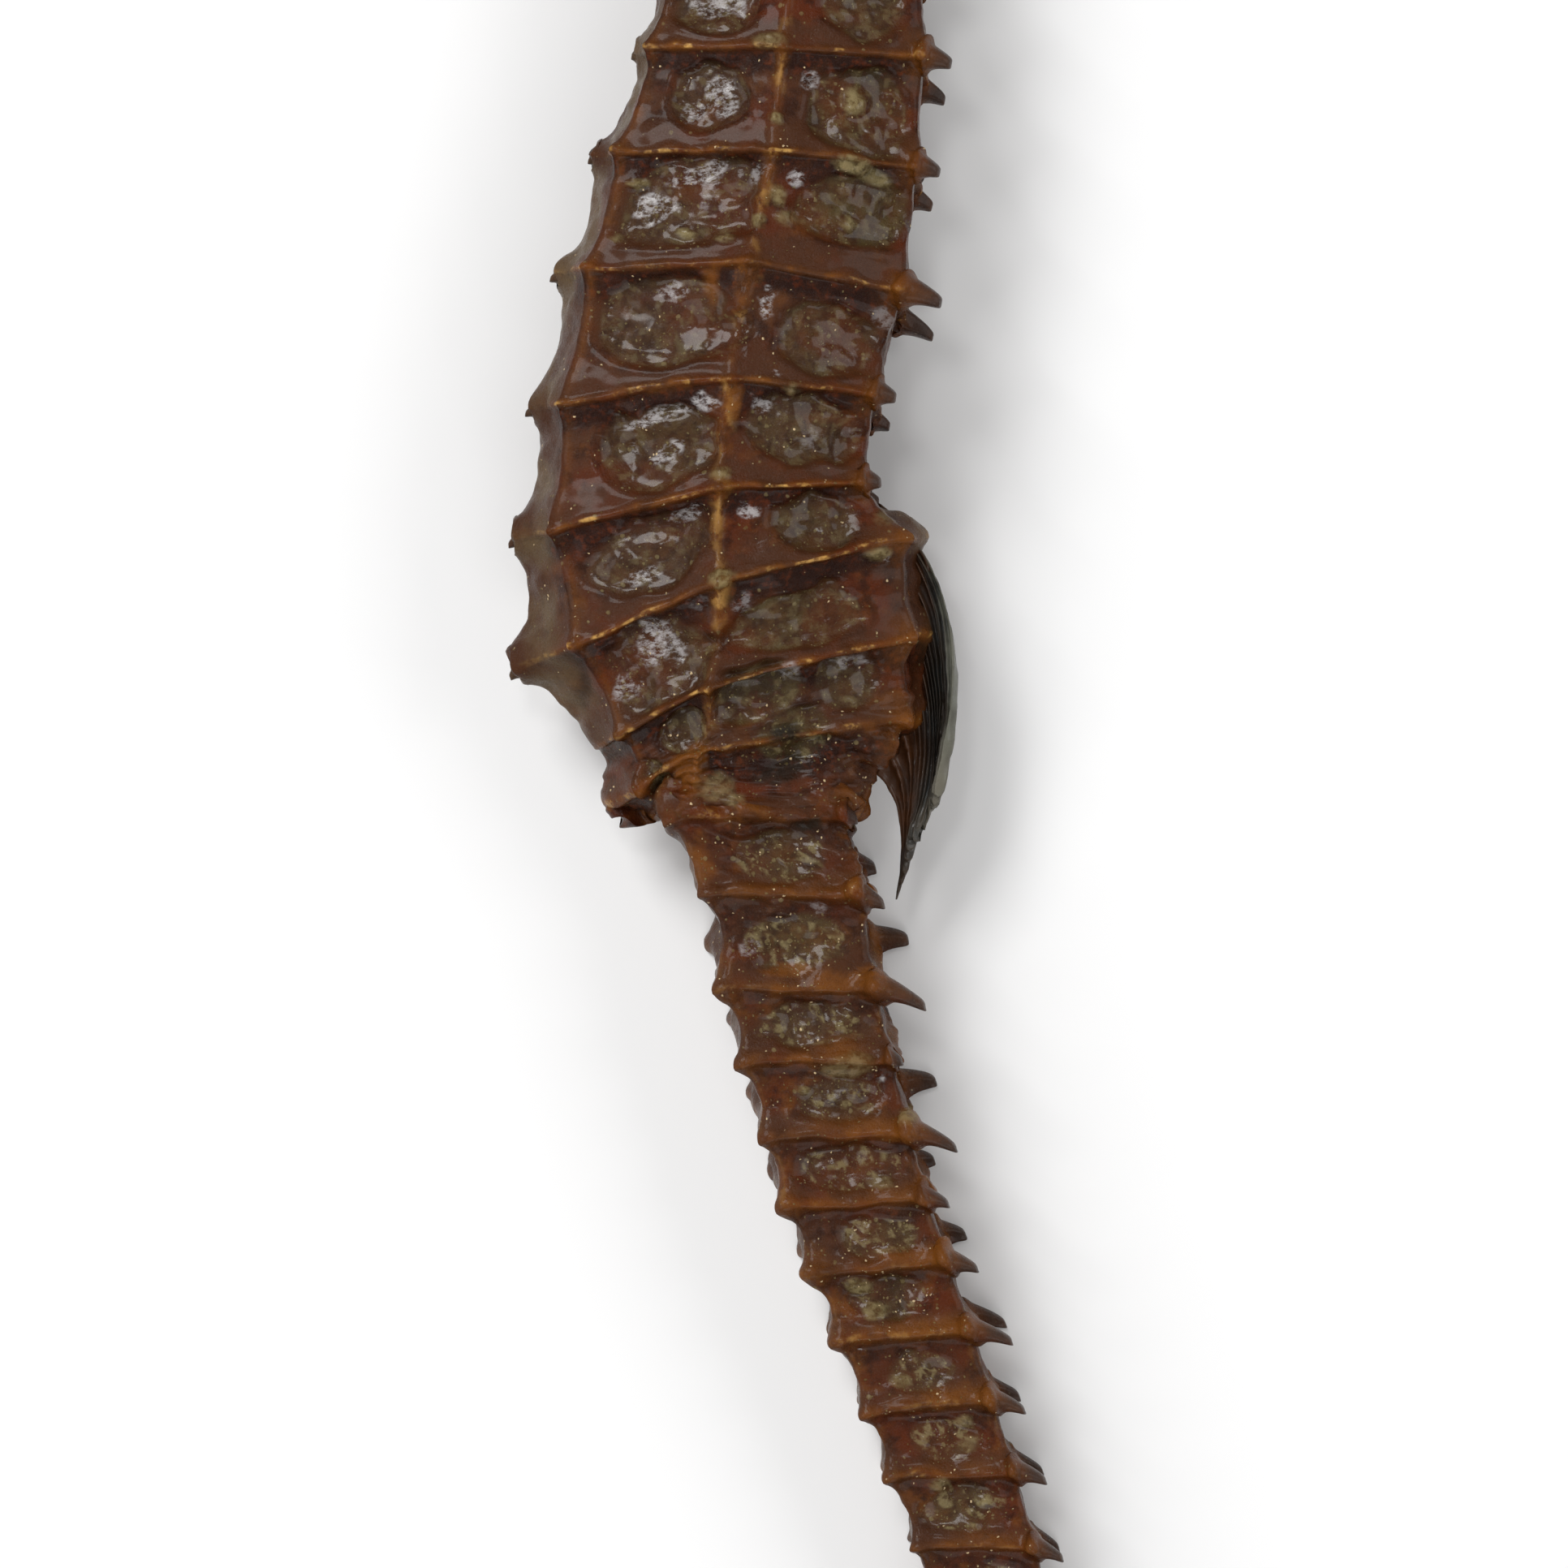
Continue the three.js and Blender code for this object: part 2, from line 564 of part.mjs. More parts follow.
// The back fin, folded down along the hump that it grows from, its rays running to the rear.
const BACK_FIN = {
  from: 11.45,
  to: 14.3,
  bow: [[7.9, 7.4], [3.9, 0.6]], // where the first and last ray bow out to
  tips: [[5.85, -0.7], [5.5, -1.35], [4.9, -1.9], [4.55, -2.9], [4.25, -4.25]],
};

function makeBackFin() {
  const root = (t) => {
    const station = lerp(BACK_FIN.from, BACK_FIN.to, t);
    const [x, y] = sectionPoint(station, "spine");
    const centre = sectionPoint(station, "side");
    const reach = Math.hypot(x - centre[0], y - centre[1]);
    const lift = (JOINT_GAP + 0.12) / reach;
    return [x + (x - centre[0]) * lift, y + (y - centre[1]) * lift];
  };
  const shift = (p) => [p[0] - OUTLINE_MIDDLE[0], p[1] - OUTLINE_MIDDLE[1]];
  const tip = (t) => {
    const last = BACK_FIN.tips.length - 1;
    const low = Math.min(last - 1, Math.floor(t * last));
    return shift([0, 1].map((i) => lerp(BACK_FIN.tips[low][i], BACK_FIN.tips[low + 1][i], t * last - low)));
  };
  const bow = (t) => shift([0, 1].map((i) => lerp(BACK_FIN.bow[0][i], BACK_FIN.bow[1][i], t)));
  const plane = (t) => sectionPoint(lerp(BACK_FIN.from, BACK_FIN.to, t), "spine")[2];
  const up = new THREE.Vector3(0, 0, 1);
  return fuse(fan(BACK_FIN_RAYS, 6, (t, s) => [...bend(root(t), bow(t), tip(t), s), plane(t)], () => up));
}

// A side fin stands just behind the gill cover and lies back against the neck.
const SIDE_FIN = { along: 28.6, up: -1.2, base: 2.2, reach: 4.6, spread: 62, aim: -38, clear: 0.62 };

function makeSideFin(side) {
  const [x, y] = headPoint(SIDE_FIN.along, SIDE_FIN.up, 0);
  const flare = side > 0 ? 0.22 : 0;
  const place = (t, s) => {
    const turn = rad(SIDE_FIN.aim + SIDE_FIN.spread * (0.5 - t));
    const reach = SIDE_FIN.reach * s * (1 - 0.35 * (2 * t - 1) ** 2);
    const across = SIDE_FIN.base * (0.5 - t);
    return [
      x - Math.sin(rad(SIDE_FIN.aim)) * across + Math.cos(turn) * reach,
      y + Math.cos(rad(SIDE_FIN.aim)) * across + Math.sin(turn) * reach,
      HEAD_PLANE + side * (3.45 + SIDE_FIN.clear + flare * reach),
    ];
  };
  const normal = new THREE.Vector3(0, 0, 1);
  return fuse(fan(SIDE_FIN_RAYS, 3, place, () => normal));
}

// The small fin behind the vent, shrunk by drying.
const VENT_FIN = { root: [[-6.75, -0.72], [-5.3, -1.12]], tips: [[-6.55, -1.5], [-5.15, -1.75]], bulge: 0.2 };

function makeVentFin() {
  const at = (ends, t) => [0, 1].map((i) => lerp(ends[0][i], ends[1][i], t) - OUTLINE_MIDDLE[i]);
  const place = (t, s) => {
    const [from, to] = [at(VENT_FIN.root, t), at(VENT_FIN.tips, t)];
    const bulge = VENT_FIN.bulge * Math.sin(Math.PI * t) * s;
    return [lerp(from[0], to[0], s) - bulge, lerp(from[1], to[1], s) - bulge, 3.3];
  };
  const normal = new THREE.Vector3(0, 0, 1);
  return fuse(fan(VENT_FIN_RAYS, 2, place, () => normal));
}

const HIDE = new THREE.MeshStandardMaterial({ color: 0x55351f, roughness: 0.38, metalness: 0 });
const FIN_SKIN = new THREE.MeshStandardMaterial({ color: 0x3b352f, roughness: 0.45, metalness: 0 });
const EYE_SKIN = new THREE.MeshStandardMaterial({ color: 0x2a2420, roughness: 0.25, metalness: 0 });

const seahorse = new THREE.Group();

function addNode(name, solid, material) {
  const { numProp, vertProperties, triVerts } = solid.getMesh();
  const position = new Float32Array((vertProperties.length / numProp) * 3);
  for (let i = 0; i < position.length / 3; i++)
    position.set(vertProperties.subarray(i * numProp, i * numProp + 3), i * 3);
  const geometry = new THREE.BufferGeometry();
  geometry.setAttribute("position", new THREE.BufferAttribute(position, 3));
  geometry.setIndex(new THREE.BufferAttribute(triVerts, 1));
  geometry.computeVertexNormals();
  const mesh = new THREE.Mesh(geometry, material);
  mesh.name = name;
  seahorse.add(mesh);
}

const NECK_END = NECK_ROWS - 0.5;
const NECK_START = 0.05; // just behind the head's rear face
const TRUNK_CUTS = [NECK_END, 7.5, 11.5, TAIL_FIRST - 0.5];
const TRUNK_NAMES = ["trunk_upper", "trunk_middle", "trunk_lower"];
const TAIL_CUTS = [1, 5, 9, 13, 17, 20, 23, 26, 29, 32].map((ring) => TAIL_FIRST + ring - 1.5);

addNode("head", makeHead(), HIDE);
addNode("snout", makeSnout(), HIDE);
addNode("crown", makeCrown(), HIDE);
addNode("eye_left", makeEye(1), EYE_SKIN);
addNode("eye_right", makeEye(-1), EYE_SKIN);
addNode("neck", trunkPiece(NECK_START, NECK_END, NECK_STEPS), HIDE);
TRUNK_NAMES.forEach((name, i) => addNode(name, trunkPiece(TRUNK_CUTS[i], TRUNK_CUTS[i + 1]), HIDE));
TAIL_CUTS.forEach((cut, i) => addNode(`tail_${i + 1}`, tailPiece(cut, TAIL_CUTS[i + 1] ?? LAST), HIDE));
addNode("back_fin", makeBackFin(), FIN_SKIN);
addNode("side_fin_left", makeSideFin(1), FIN_SKIN);
addNode("side_fin_right", makeSideFin(-1), FIN_SKIN);
addNode("vent_fin", makeVentFin(), FIN_SKIN);

export default seahorse;
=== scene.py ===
"""A dried seahorse that lies on its right side on a pale surface, seen from straight above.

The body is modelled section by section: a head with snout and crown, the ringed trunk, and the tail
that ends in a curl. Fins and eyes are pieces of their own. Lengths in the tables are millimetres.
"""

from __future__ import annotations

import logging
import math
from dataclasses import dataclass
from enum import Enum
from typing import Sequence

import bmesh
import bpy
import numpy as np
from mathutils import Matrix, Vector, noise

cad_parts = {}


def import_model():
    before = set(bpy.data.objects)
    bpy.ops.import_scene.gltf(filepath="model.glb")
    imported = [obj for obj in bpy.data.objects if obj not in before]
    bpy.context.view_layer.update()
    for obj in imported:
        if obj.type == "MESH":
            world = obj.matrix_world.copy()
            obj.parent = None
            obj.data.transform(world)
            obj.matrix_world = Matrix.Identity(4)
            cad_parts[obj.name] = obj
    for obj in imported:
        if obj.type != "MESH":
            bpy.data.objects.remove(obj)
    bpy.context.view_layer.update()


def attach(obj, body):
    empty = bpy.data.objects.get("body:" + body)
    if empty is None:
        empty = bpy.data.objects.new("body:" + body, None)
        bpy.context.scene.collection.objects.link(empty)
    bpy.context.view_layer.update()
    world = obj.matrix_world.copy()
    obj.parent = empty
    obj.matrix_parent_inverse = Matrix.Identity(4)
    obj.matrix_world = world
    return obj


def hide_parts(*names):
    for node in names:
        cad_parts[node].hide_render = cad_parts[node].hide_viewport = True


Piece = bpy.types.Object
Socket = bpy.types.NodeSocket
Colour = tuple[float, float, float, float]
Rows = Sequence[Sequence[float]]

LOG = logging.getLogger("seahorse")
MM = 0.001
OUTLINE_MIDDLE = (-9.18, 1.92)
SHIFT = Vector((*OUTLINE_MIDDLE, 0))
NECK_ROWS = 4
TRUNK_RINGS = 11
TAIL_FIRST = NECK_ROWS + TRUNK_RINGS
TAIL_RINGS = 35

# Side ridge x, y; reach to the keel, its slant; reach to the back ridge, its slant; half width;
# height of the middle plane; share of the belly's reach at which the lower ridge stands.
BODY_ROWS = (
    (-2.59, 45.04, 5.1, 102, 5.0, -102, 3.9, 4.5, 0.8),
    (-0.78, 44.22, 4.48, 77.4, 4.48, -77.4, 3.6, 4.5, 0.82),
    (0.62, 42.55, 4.12, 47.7, 4.12, -47.7, 3.4, 4.5, 0.85),
    (0.92, 40.38, 4.08, 20.4, 4.08, -20.4, 3.35, 4.5, 0.88),
    (0.28, 37.85, 4.25, 2, 4.43, -3, 3.5, 4.5, 0.92),
    (0.43, 34.84, 4.84, 0, 4.9, -1, 3.65, 4.48, 0.93),
    (0.34, 31.5, 5.24, 0, 5.3, 1.5, 3.85, 4.42, 0.93),
    (0.03, 27.84, 5.64, -0.6, 5.62, 3.2, 4.1, 4.36, 0.93),
    (-0.28, 23.96, 6.88, 0, 5.7, 5.9, 4.3, 4.32, 0.9),
    (-1.18, 19.72, 7.38, 2, 6.13, 11, 4.42, 4.3, 0.87),
    (-1.89, 15.38, 7.67, 8, 5.72, 6.9, 4.45, 4.3, 0.88),
    (-2.29, 11.25, 8.1, 13.5, 5.61, -1.6, 4.45, 4.3, 0.85),
    (-2.42, 7.69, 8.8, 23.7, 7.64, -13.1, 4.35, 4.22, 0.7),
    (-2.98, 3.69, 5.02, 28.8, 8.46, -13.8, 3.95, 3.9, 0.74),
    (-3.41, 1.27, 3.94, 31.8, 8.69, -8.8, 3.55, 3.5, 0.6),
)
TAIL_START = (-0.5, -1.24)
TAIL_HALF, TIP_HALF = 3.33, 0.45
STRAIGHT_PITCHES = (2.98, 3.69, 2.79, 2.95, 2.67, 2.67, 2.79, 2.82, 2.76, 2.91)
STRAIGHT_HEADINGS = (12, 9.7, 14.2, 14.6, 14.8, 20.3, 20, 19.2, 19, 17.3)
# Station, and the share by which a ring's lower side trails towards the tail.
LEAN = (
    (0, 0), (6, 0.12), (7, 0.16), (10, 0.14), (12, 0.03), (15, -0.08), (17, -0.29), (19, -0.3), (21, -0.16),
    (22, -0.05), (24, 0),
)

# Lengths of the keel's knobs and of the spines, from the first ring of the trunk or the tail on.
KEEL_BUMPS = (0.25, 0.25, 0.3, 0.3, 0.45, 0.55, 0.55, 0.6, 0.55, 0, 0)
BACK_SPINES = (0.8, 0.75, 0.8, 0.9, 0.75, 1.3, 0.65, 0.5, 0, 0, 0)
TAIL_SPINES = (0.35, 0.75, 1.6, 0.35, 1.5, 0.75, 0.95, 1.3, 1.0, 1.0, 0.9, 0.6, 1.1, 0.55, 0.95)
TAIL_SPINE_RINGS = 28

SNOUT_TIP = (-29.6, 39.3)
HEAD_TILT = 12
HEAD_PLANE = 4.5
# The head's sections: distance from the snout's tip, top, bottom and half width.
HEAD_ROWS = (
    (0.1, 1.25, -1.1, 1.05),
    (0.6, 1.5, -1.35, 1.32),
    (1.3, 1.45, -1.4, 1.35),
    (2.6, 1.15, -1.15, 1.12),
    (7.0, 1.1, -1.2, 1.1),
    (10.5, 1.4, -1.5, 1.35),
    (12.7, 2.0, -2.1, 1.9),
    (14.6, 3.1, -2.75, 2.6),
    (16.9, 4.3, -3.5, 3.2),
    (19.4, 4.85, -4.5, 3.6),
    (21.6, 5.3, -5.2, 4.25),
    (23.8, 5.4, -5.6, 4.6),
    (25.8, 5.25, -5.5, 4.5),
    (27.45, 5.0, -5.1, 3.95),
)
# The left eye's middle: distance from the snout's tip, height and distance from the middle plane.
EYE = (16.9, 1.3, 2.55)
EYE_SIZE = (2.0, 2.0, 1.25)
CROWN_ALONG = 24.0

# Marks on the side that faces up: place x, y, half length, half width, turn, and strength. For WINDOWS the
# last number is the tone, from cloudy brown at 0 to olive at 1.
WINDOWS = (
    (6.67, 27.56, 1.61, 1.12, 5, 0.35), (6.51, 24.0, 1.67, 1.24, 5, 0.3), (5.55, 20.09, 2.85, 1.55, 18, 0.3),
    (4.72, 15.47, 2.79, 1.8, 8, 0.35), (4.59, 10.91, 2.36, 1.43, 22, 0.5), (4.0, 6.7, 2.48, 1.24, 22, 0.2),
    (4.22, 2.54, 2.11, 1.55, 38, 0.3), (12.25, 27.56, 1.71, 1.24, -10, 0.6),
    (12.03, 23.44, 1.8, 1.43, -20, 0.9), (11.72, 19.72, 2.17, 1.3, -12, 1),
    (10.73, 14.94, 1.8, 1.36, -20, 0.5), (9.86, 11.53, 2.29, 1.18, -6, 0.4),
    (10.61, 7.88, 1.61, 0.87, 0, 0.6), (9.77, 4.31, 2.73, 1.05, 10, 0.8), (11.6, 2.05, 1.05, 1.18, 0, 0.5),
    (8.31, 1.49, 1.8, 0.93, 30, 0.8), (5.27, -0.03, 0.81, 0.62, 30, 0.5), (4.06, -1.83, 0.93, 0.81, 0, 0.9),
    (9.52, -0.03, 1.43, 0.87, 20, 1),
)
# Pale patches, partly a crust of salt and partly painted reflections of the lamps on the glossy hollows; same
# columns as above.
FROST_AND_REFLECTIONS = (
    (6.51, 27.72, 1.05, 0.56, 0, 0.9), (6.76, 24.24, 0.68, 0.87, -10, 1), (5.83, 23.47, 0.56, 0.31, 20, 0.8),
    (5.83, 21.14, 1.24, 0.25, 22, 1), (4.5, 19.9, 1.12, 0.46, 10, 1), (8.06, 21.14, 0.5, 0.37, 60, 0.6),
    (6.14, 20.28, 0.31, 0.93, -20, 0.5), (5.03, 16.68, 0.56, 0.28, 0, 0.7), (3.1, 15.94, 0.31, 0.25, 0, 0.4),
    (6.27, 12.53, 0.56, 0.4, -20, 1), (4.34, 11.91, 1.55, 0.19, 18, 0.9), (4.72, 10.67, 0.87, 0.22, 35, 0.9),
    (5.21, 8.19, 0.93, 0.25, 15, 0.8), (3.69, 5.89, 0.81, 0.25, 20, 0.9), (4.22, 3.38, 0.74, 1.12, -20, 0.8),
    (3.17, 1.68, 0.43, 0.5, 0, 0.7), (5.89, 4.93, 0.62, 0.31, 0, 0.4), (10.17, 24.68, 0.25, 0.37, -30, 0.7),
    (9.71, 20.96, 0.31, 0.37, -30, 0.8), (8.53, 16.09, 0.28, 0.56, -10, 0.9),
    (13.09, 15.63, 0.5, 0.37, -30, 0.5), (8.31, 12.37, 0.37, 0.31, -20, 0.7),
    (10.23, 11.13, 0.5, 0.37, 0, 0.5), (7.82, 8.34, 0.5, 0.25, 0, 0.8), (7.6, 4.78, 0.5, 0.31, 0, 0.5),
    (11.47, 2.61, 0.62, 0.31, 0, 0.6), (9.46, 2.3, 0.5, 0.37, 30, 0.6), (7.91, -8.18, 0.43, 0.25, 20, 0.6),
    (10.54, -6.63, 0.31, 0.19, 0, 0.5), (11.47, -13.67, 0.93, 0.25, 15, 0.5),
)
LUMPS = (
    (11.88, 23.84, 0.37, 0.43, 0, 1), (11.78, 21.45, 0.62, 0.31, -10, 1),
    (12.59, 20.96, 0.68, 0.22, -20, 0.8), (5.49, 18.94, 0.28, 0.22, 0, 1), (6.92, 18.7, 0.28, 0.15, 10, 0.8),
    (8.09, 19.35, 0.25, 0.25, 0, 1), (8.99, 23.22, 0.22, 0.19, 0, 1), (8.68, 26.1, 0.5, 0.25, 0, 0.7),
    (8.99, 20.28, 0.22, 0.37, 0, 0.9), (9.18, 19.47, 0.37, 0.25, 0, 0.6), (11.69, 19.25, 0.19, 0.19, 0, 1),
    (6.82, 9.74, 0.28, 0.15, 0, 0.8), (12.87, 6.79, 0.34, 0.25, 0, 1), (6.85, 5.83, 0.31, 0.28, 0, 1),
    (9.46, 12.99, 0.19, 0.15, 0, 0.7), (12.03, -21.11, 0.4, 0.28, 0, 1), (12.65, -22.01, 0.37, 0.25, 0, 0.8),
    (13.71, -24.67, 0.34, 0.22, 0, 0.8), (16.12, -26.29, 0.31, 0.19, 0, 0.7),
    (11.54, -12.65, 0.93, 0.43, 5, 0.6), (10.02, -13.58, 0.19, 0.15, 0, 1),
    (14.02, -14.57, 0.37, 0.28, 0, 0.8), (6.58, -2.11, 0.62, 0.43, 0, 0.6), (7.29, -2.51, 0.31, 0.25, 0, 0.8),
    (16.12, -27.15, 0.31, 0.19, 0, 0.5), (2.79, 18.73, 0.19, 0.12, 0, 0.7), (3.63, 20.83, 0.28, 0.15, 0, 0.9),
    (13.12, 8.19, 0.37, 0.31, 0, 0.4), (15.19, -28.7, 0.28, 0.22, 0, 0.6),
    (16.74, -29.32, 0.28, 0.19, 0, 0.6), (12.87, -17.08, 0.43, 0.25, 0, 0.5),
)
GLOWS = (
    (5.58, -1.27, 0.46, 0.87, -10, 1), (12.96, -9.17, 1.86, 0.31, 12, 0.9), (5.89, -4.83, 0.5, 0.93, 0, 0.7),
    (14.26, 3.23, 0.93, 0.28, 0, 0.6), (9.46, -9.02, 0.93, 0.19, 5, 0.8), (13.95, -15.22, 1.24, 0.28, 8, 0.7),
    (15.19, 21.36, 0.43, 0.25, 0, 0.8), (14.88, 20.59, 0.25, 0.93, 0, 0.5), (6.51, 17.02, 0.25, 0.87, 0, 0.8),
    (7.29, 12.53, 0.25, 0.68, 0, 0.9),
)
BULGES = (
    (3.04, -1.89, 0.81, 0.87, 0, 0.8), (4.03, -2.51, 0.9, 0.7, 0, 0.9), (5.6, -2.6, 0.7, 0.5, -20, 0.6),
    (12.9, -0.6, 0.9, 0.6, -30, 0.8),
)
STAINS = (
    (9.24, -0.03, 0.56, 0.37, 0, 1), (9.92, -3.53, 0.5, 0.28, 0, 0.9), (8.99, -1.58, 1.24, 0.31, 15, 0.7),
    (12.65, -3.59, 0.31, 0.93, 0, 0.3), (1.55, 1.83, 0.25, 0.93, 0, 0.5),
)


def srgb(red: float, green: float, blue: float, gain: float = 1.0) -> Colour:
    """Returns the linear colour of display values from 0 to 255, times a gain."""
    def linear(value: float) -> float:
        share = value / 255
        return share / 12.92 if share < 0.04045 else ((share + 0.055) / 1.055) ** 2.4
    return (linear(red) * gain, linear(green) * gain, linear(blue) * gain, 1.0)


def lerp(low: float, high: float, share: float) -> float:
    """Returns the value at a share of the way from low to high."""
    return low + (high - low) * share


def smooth(values: np.ndarray, low: float, high: float) -> np.ndarray:
    """Returns 0 below low, 1 above high, and an even curve between them."""
    share = np.clip((values - low) / (high - low), 0, 1)
    return share * share * (3 - 2 * share)


def bell(values: np.ndarray, width: float | np.ndarray) -> np.ndarray:
    """Returns a rounded bump of height 1 around zero, width wide on each side."""
    return np.exp(-((values / width) ** 2))


def roughness_at(points: np.ndarray, size: float, octaves: int = 3) -> np.ndarray:
    """Returns even noise at points in millimetres.

    Args:
        points: One row for each point.
        size: The size of the largest lumps, in millimetres.
        octaves: How many finer layers are added.

    Returns:
        Values around zero, mostly between -1 and 1.
    """
    return np.array([noise.fractal(Vector(point) / size, 1.0, 2.0, octaves) for point in points])


def both_sides(girths: Sequence[float]) -> list[tuple[float, int]]:
    """Returns the columns of a loop as girth and side: up the left side and back down the right one."""
    return [(girth, 1) for girth in girths] + [(girth, -1) for girth in reversed(girths)]


class Layout(Enum):
    """Which ridges a section of the body has."""

    TRUNK = (
        (0.0, "keel"), (0.25, "lower"), (0.5, "side"), (0.66, "tail_back"), (0.8, "back"), (1.0, "spine"),
    )
    TAIL = ((0.0, "keel"), (0.25, "side"), (0.75, "tail_back"), (1.0, "spine"))


@dataclass(frozen=True)
class Spot:
    """An oval mark, seen from above, in millimetres and degrees."""

    x: float
    y: float
    long: float
    wide: float
    turn: float
    strength: float

    def spread(self, points: np.ndarray, margin: float = 0.0) -> np.ndarray:
        """Returns the squared distance of points from the middle, 1 at the rim."""
        c, s = math.cos(math.radians(self.turn)), math.sin(math.radians(self.turn))
        x, y = points[:, 0] - self.x, points[:, 1] - self.y
        return ((x * c + y * s) / (self.long + margin)) ** 2 + ((y * c - x * s) / (self.wide + margin)) ** 2


def marks(rows: Rows, points: np.ndarray, uneven: np.ndarray) -> np.ndarray:
    """Returns how strongly a table of marks covers points.

    Args:
        rows: The marks.
        points: The points in millimetres.
        uneven: Noise that frays the rims.
    """
    result = np.zeros(len(points))
    for row in rows:
        spot = Spot(*row)
        result = np.maximum(
            result, spot.strength * (1 - smooth(spot.spread(points, 0.06) * (1 + uneven), 0.35, 1.3)),
        )
    return result


@dataclass(frozen=True)
class Station:
    """One section of the body: its named points, its middle and its size."""

    points: dict[str, tuple[float, float, float]]
    middle: tuple[float, float]
    plane: float
    sag: float
    scale: float


class BodyLine:
    """The run of sections from the head's rear to the tip of the tail."""

    def __init__(self) -> None:
        """Lays out every section."""
        self.stations = [self._trunk(row) for row in BODY_ROWS] + self._tail()
        self.last = len(self.stations) - 1

    @staticmethod
    def _trunk(row: Sequence[float]) -> Station:
        """Returns the section that a row of the body's table gives."""
        x, y, belly, belly_slant, back, back_slant, half, plane, lower = row
        down = (-math.cos(math.radians(belly_slant)), -math.sin(math.radians(belly_slant)))
        up = (math.cos(math.radians(back_slant)), -math.sin(math.radians(back_slant)))

        def at(way: tuple[float, float], reach: float, share: float) -> tuple[float, float, float]:
            return (x + way[0] * reach, y + way[1] * reach, half * share)

        points = {
            "keel": at(down, belly, 0),
            "lower": at(down, belly * lower, 0.62),
            "side": at(down, 0, 1),
            "tail_back": at(up, back * 0.5, 0.93),
            "back": at(up, back, 0.66),
            "spine": at(up, back * 0.94, 0),
        }
        middle = (x + (down[0] * belly + up[0] * back) / 2, y + (down[1] * belly + up[1] * back) / 2)
        return Station(points, middle, plane, 0.28, 1.0)

    @staticmethod
    def _tail() -> list[Station]:
        """Returns the tail's sections, the straight ones and those of the curl."""
        stations = []
        x, y = TAIL_START
        heading = STRAIGHT_HEADINGS[0]
        for ring in range(1, TAIL_RINGS + 1):
            curl = max(0.0, (ring - 11) / (TAIL_RINGS - 11))
            half = lerp(TAIL_HALF, TIP_HALF, (ring - 1) / (TAIL_RINGS - 1))
            width = half * 0.95
            skew = lerp(12, 16, (ring - 1) / 10) if ring < 12 else 16 * max(0.0, 1 - curl * 5)
            straight = ring <= len(STRAIGHT_HEADINGS)
            following = STRAIGHT_HEADINGS[ring - 1] if straight else heading - lerp(6, 30, curl**0.9)
            across = math.radians((heading + following) / 2 - skew)
            scale = half / TAIL_HALF
            full = 0.75 if ring == 1 else 0.0

            def at(reach: float, share: float) -> tuple[float, float, float]:
                out = reach - full if reach < 0 else reach
                return (x + math.cos(across) * out, y + math.sin(across) * out, width * share)

            points = {
                "keel": at(-half + 0.25 * scale, 0),
                "lower": at(-half + 0.12 * scale, 0.55),
                "side": at(-half, 1),
                "tail_back": at(half, 1),
                "back": at(half - 0.14 * scale, 0.55),
                "spine": at(half - 0.3 * scale, 0),
            }
            stations.append(Station(points, (x, y), width - 0.12 * scale, 0.3 * scale, scale))
            heading = following
            pitch = STRAIGHT_PITCHES[ring - 1] if straight else lerp(2.87, 1.15, curl)
            x += pitch * math.sin(math.radians(heading))
            y -= pitch * math.cos(math.radians(heading))
        return stations

    def centre(self, station: int) -> Vector:
        """Returns the middle of a station, at no height."""
        return Vector((*self.stations[station].middle, 0)) - SHIFT

    def outwards(self, station: int, point: Vector) -> Vector:
        """Returns the level direction from the middle of a station to a point."""
        middle = self.centre(station)
        return Vector((point.x - middle.x, point.y - middle.y, 0)).normalized()

    def along(self, station: float) -> Vector:
        """Returns the direction towards the tip of the tail at a station."""
        before = max(0, math.floor(station - 0.5))
        after = min(self.last, max(before + 1, math.ceil(station + 0.5)))
        x0, y0 = self.stations[before].middle
        x1, y1 = self.stations[after].middle
        return Vector((x1 - x0, y1 - y0, 0)).normalized()

    def pitch(self, station: float) -> float:
        """Returns the distance between the two rings around a station."""
        low = min(self.last - 1, max(0, math.floor(station)))
        (x0, y0), (x1, y1) = self.stations[low].middle, self.stations[low + 1].middle
        return math.hypot(x1 - x0, y1 - y0)

    def scale(self, station: float) -> float:
        """Returns the size of details at a station, 1 on the trunk."""
        low = min(self.last - 1, max(0, math.floor(station)))
        return lerp(self.stations[low].scale, self.stations[low + 1].scale, min(1.0, station - low))

    def at(self, station: float, girth: float, side: int, layout: Layout) -> Vector:
        """Returns a point of the body's plain surface.

        Args:
            station: The section, counted from the head's rear.
            girth: The place around it, from 0 at the keel to 1 at the middle of the back.
            side: 1 for the left side, which faces up, and -1 for the right.
            layout: Which ridges the section has.

        Returns:
            The point in millimetres.
        """
        low = min(self.last - 1, max(0, math.floor(station)))
        share = min(1.0, max(0.0, station - low))
        knots = layout.value
        index = max(i for i, (knot, _) in enumerate(knots[:-1]) if girth >= knot - 1e-9)
        part = (girth - knots[index][0]) / (knots[index + 1][0] - knots[index][0])
        a, b = self.stations[low], self.stations[low + 1]

        def named(section: Station) -> Vector:
            return Vector(section.points[knots[index][1]]).lerp(
                Vector(section.points[knots[index + 1][1]]), part,
            )

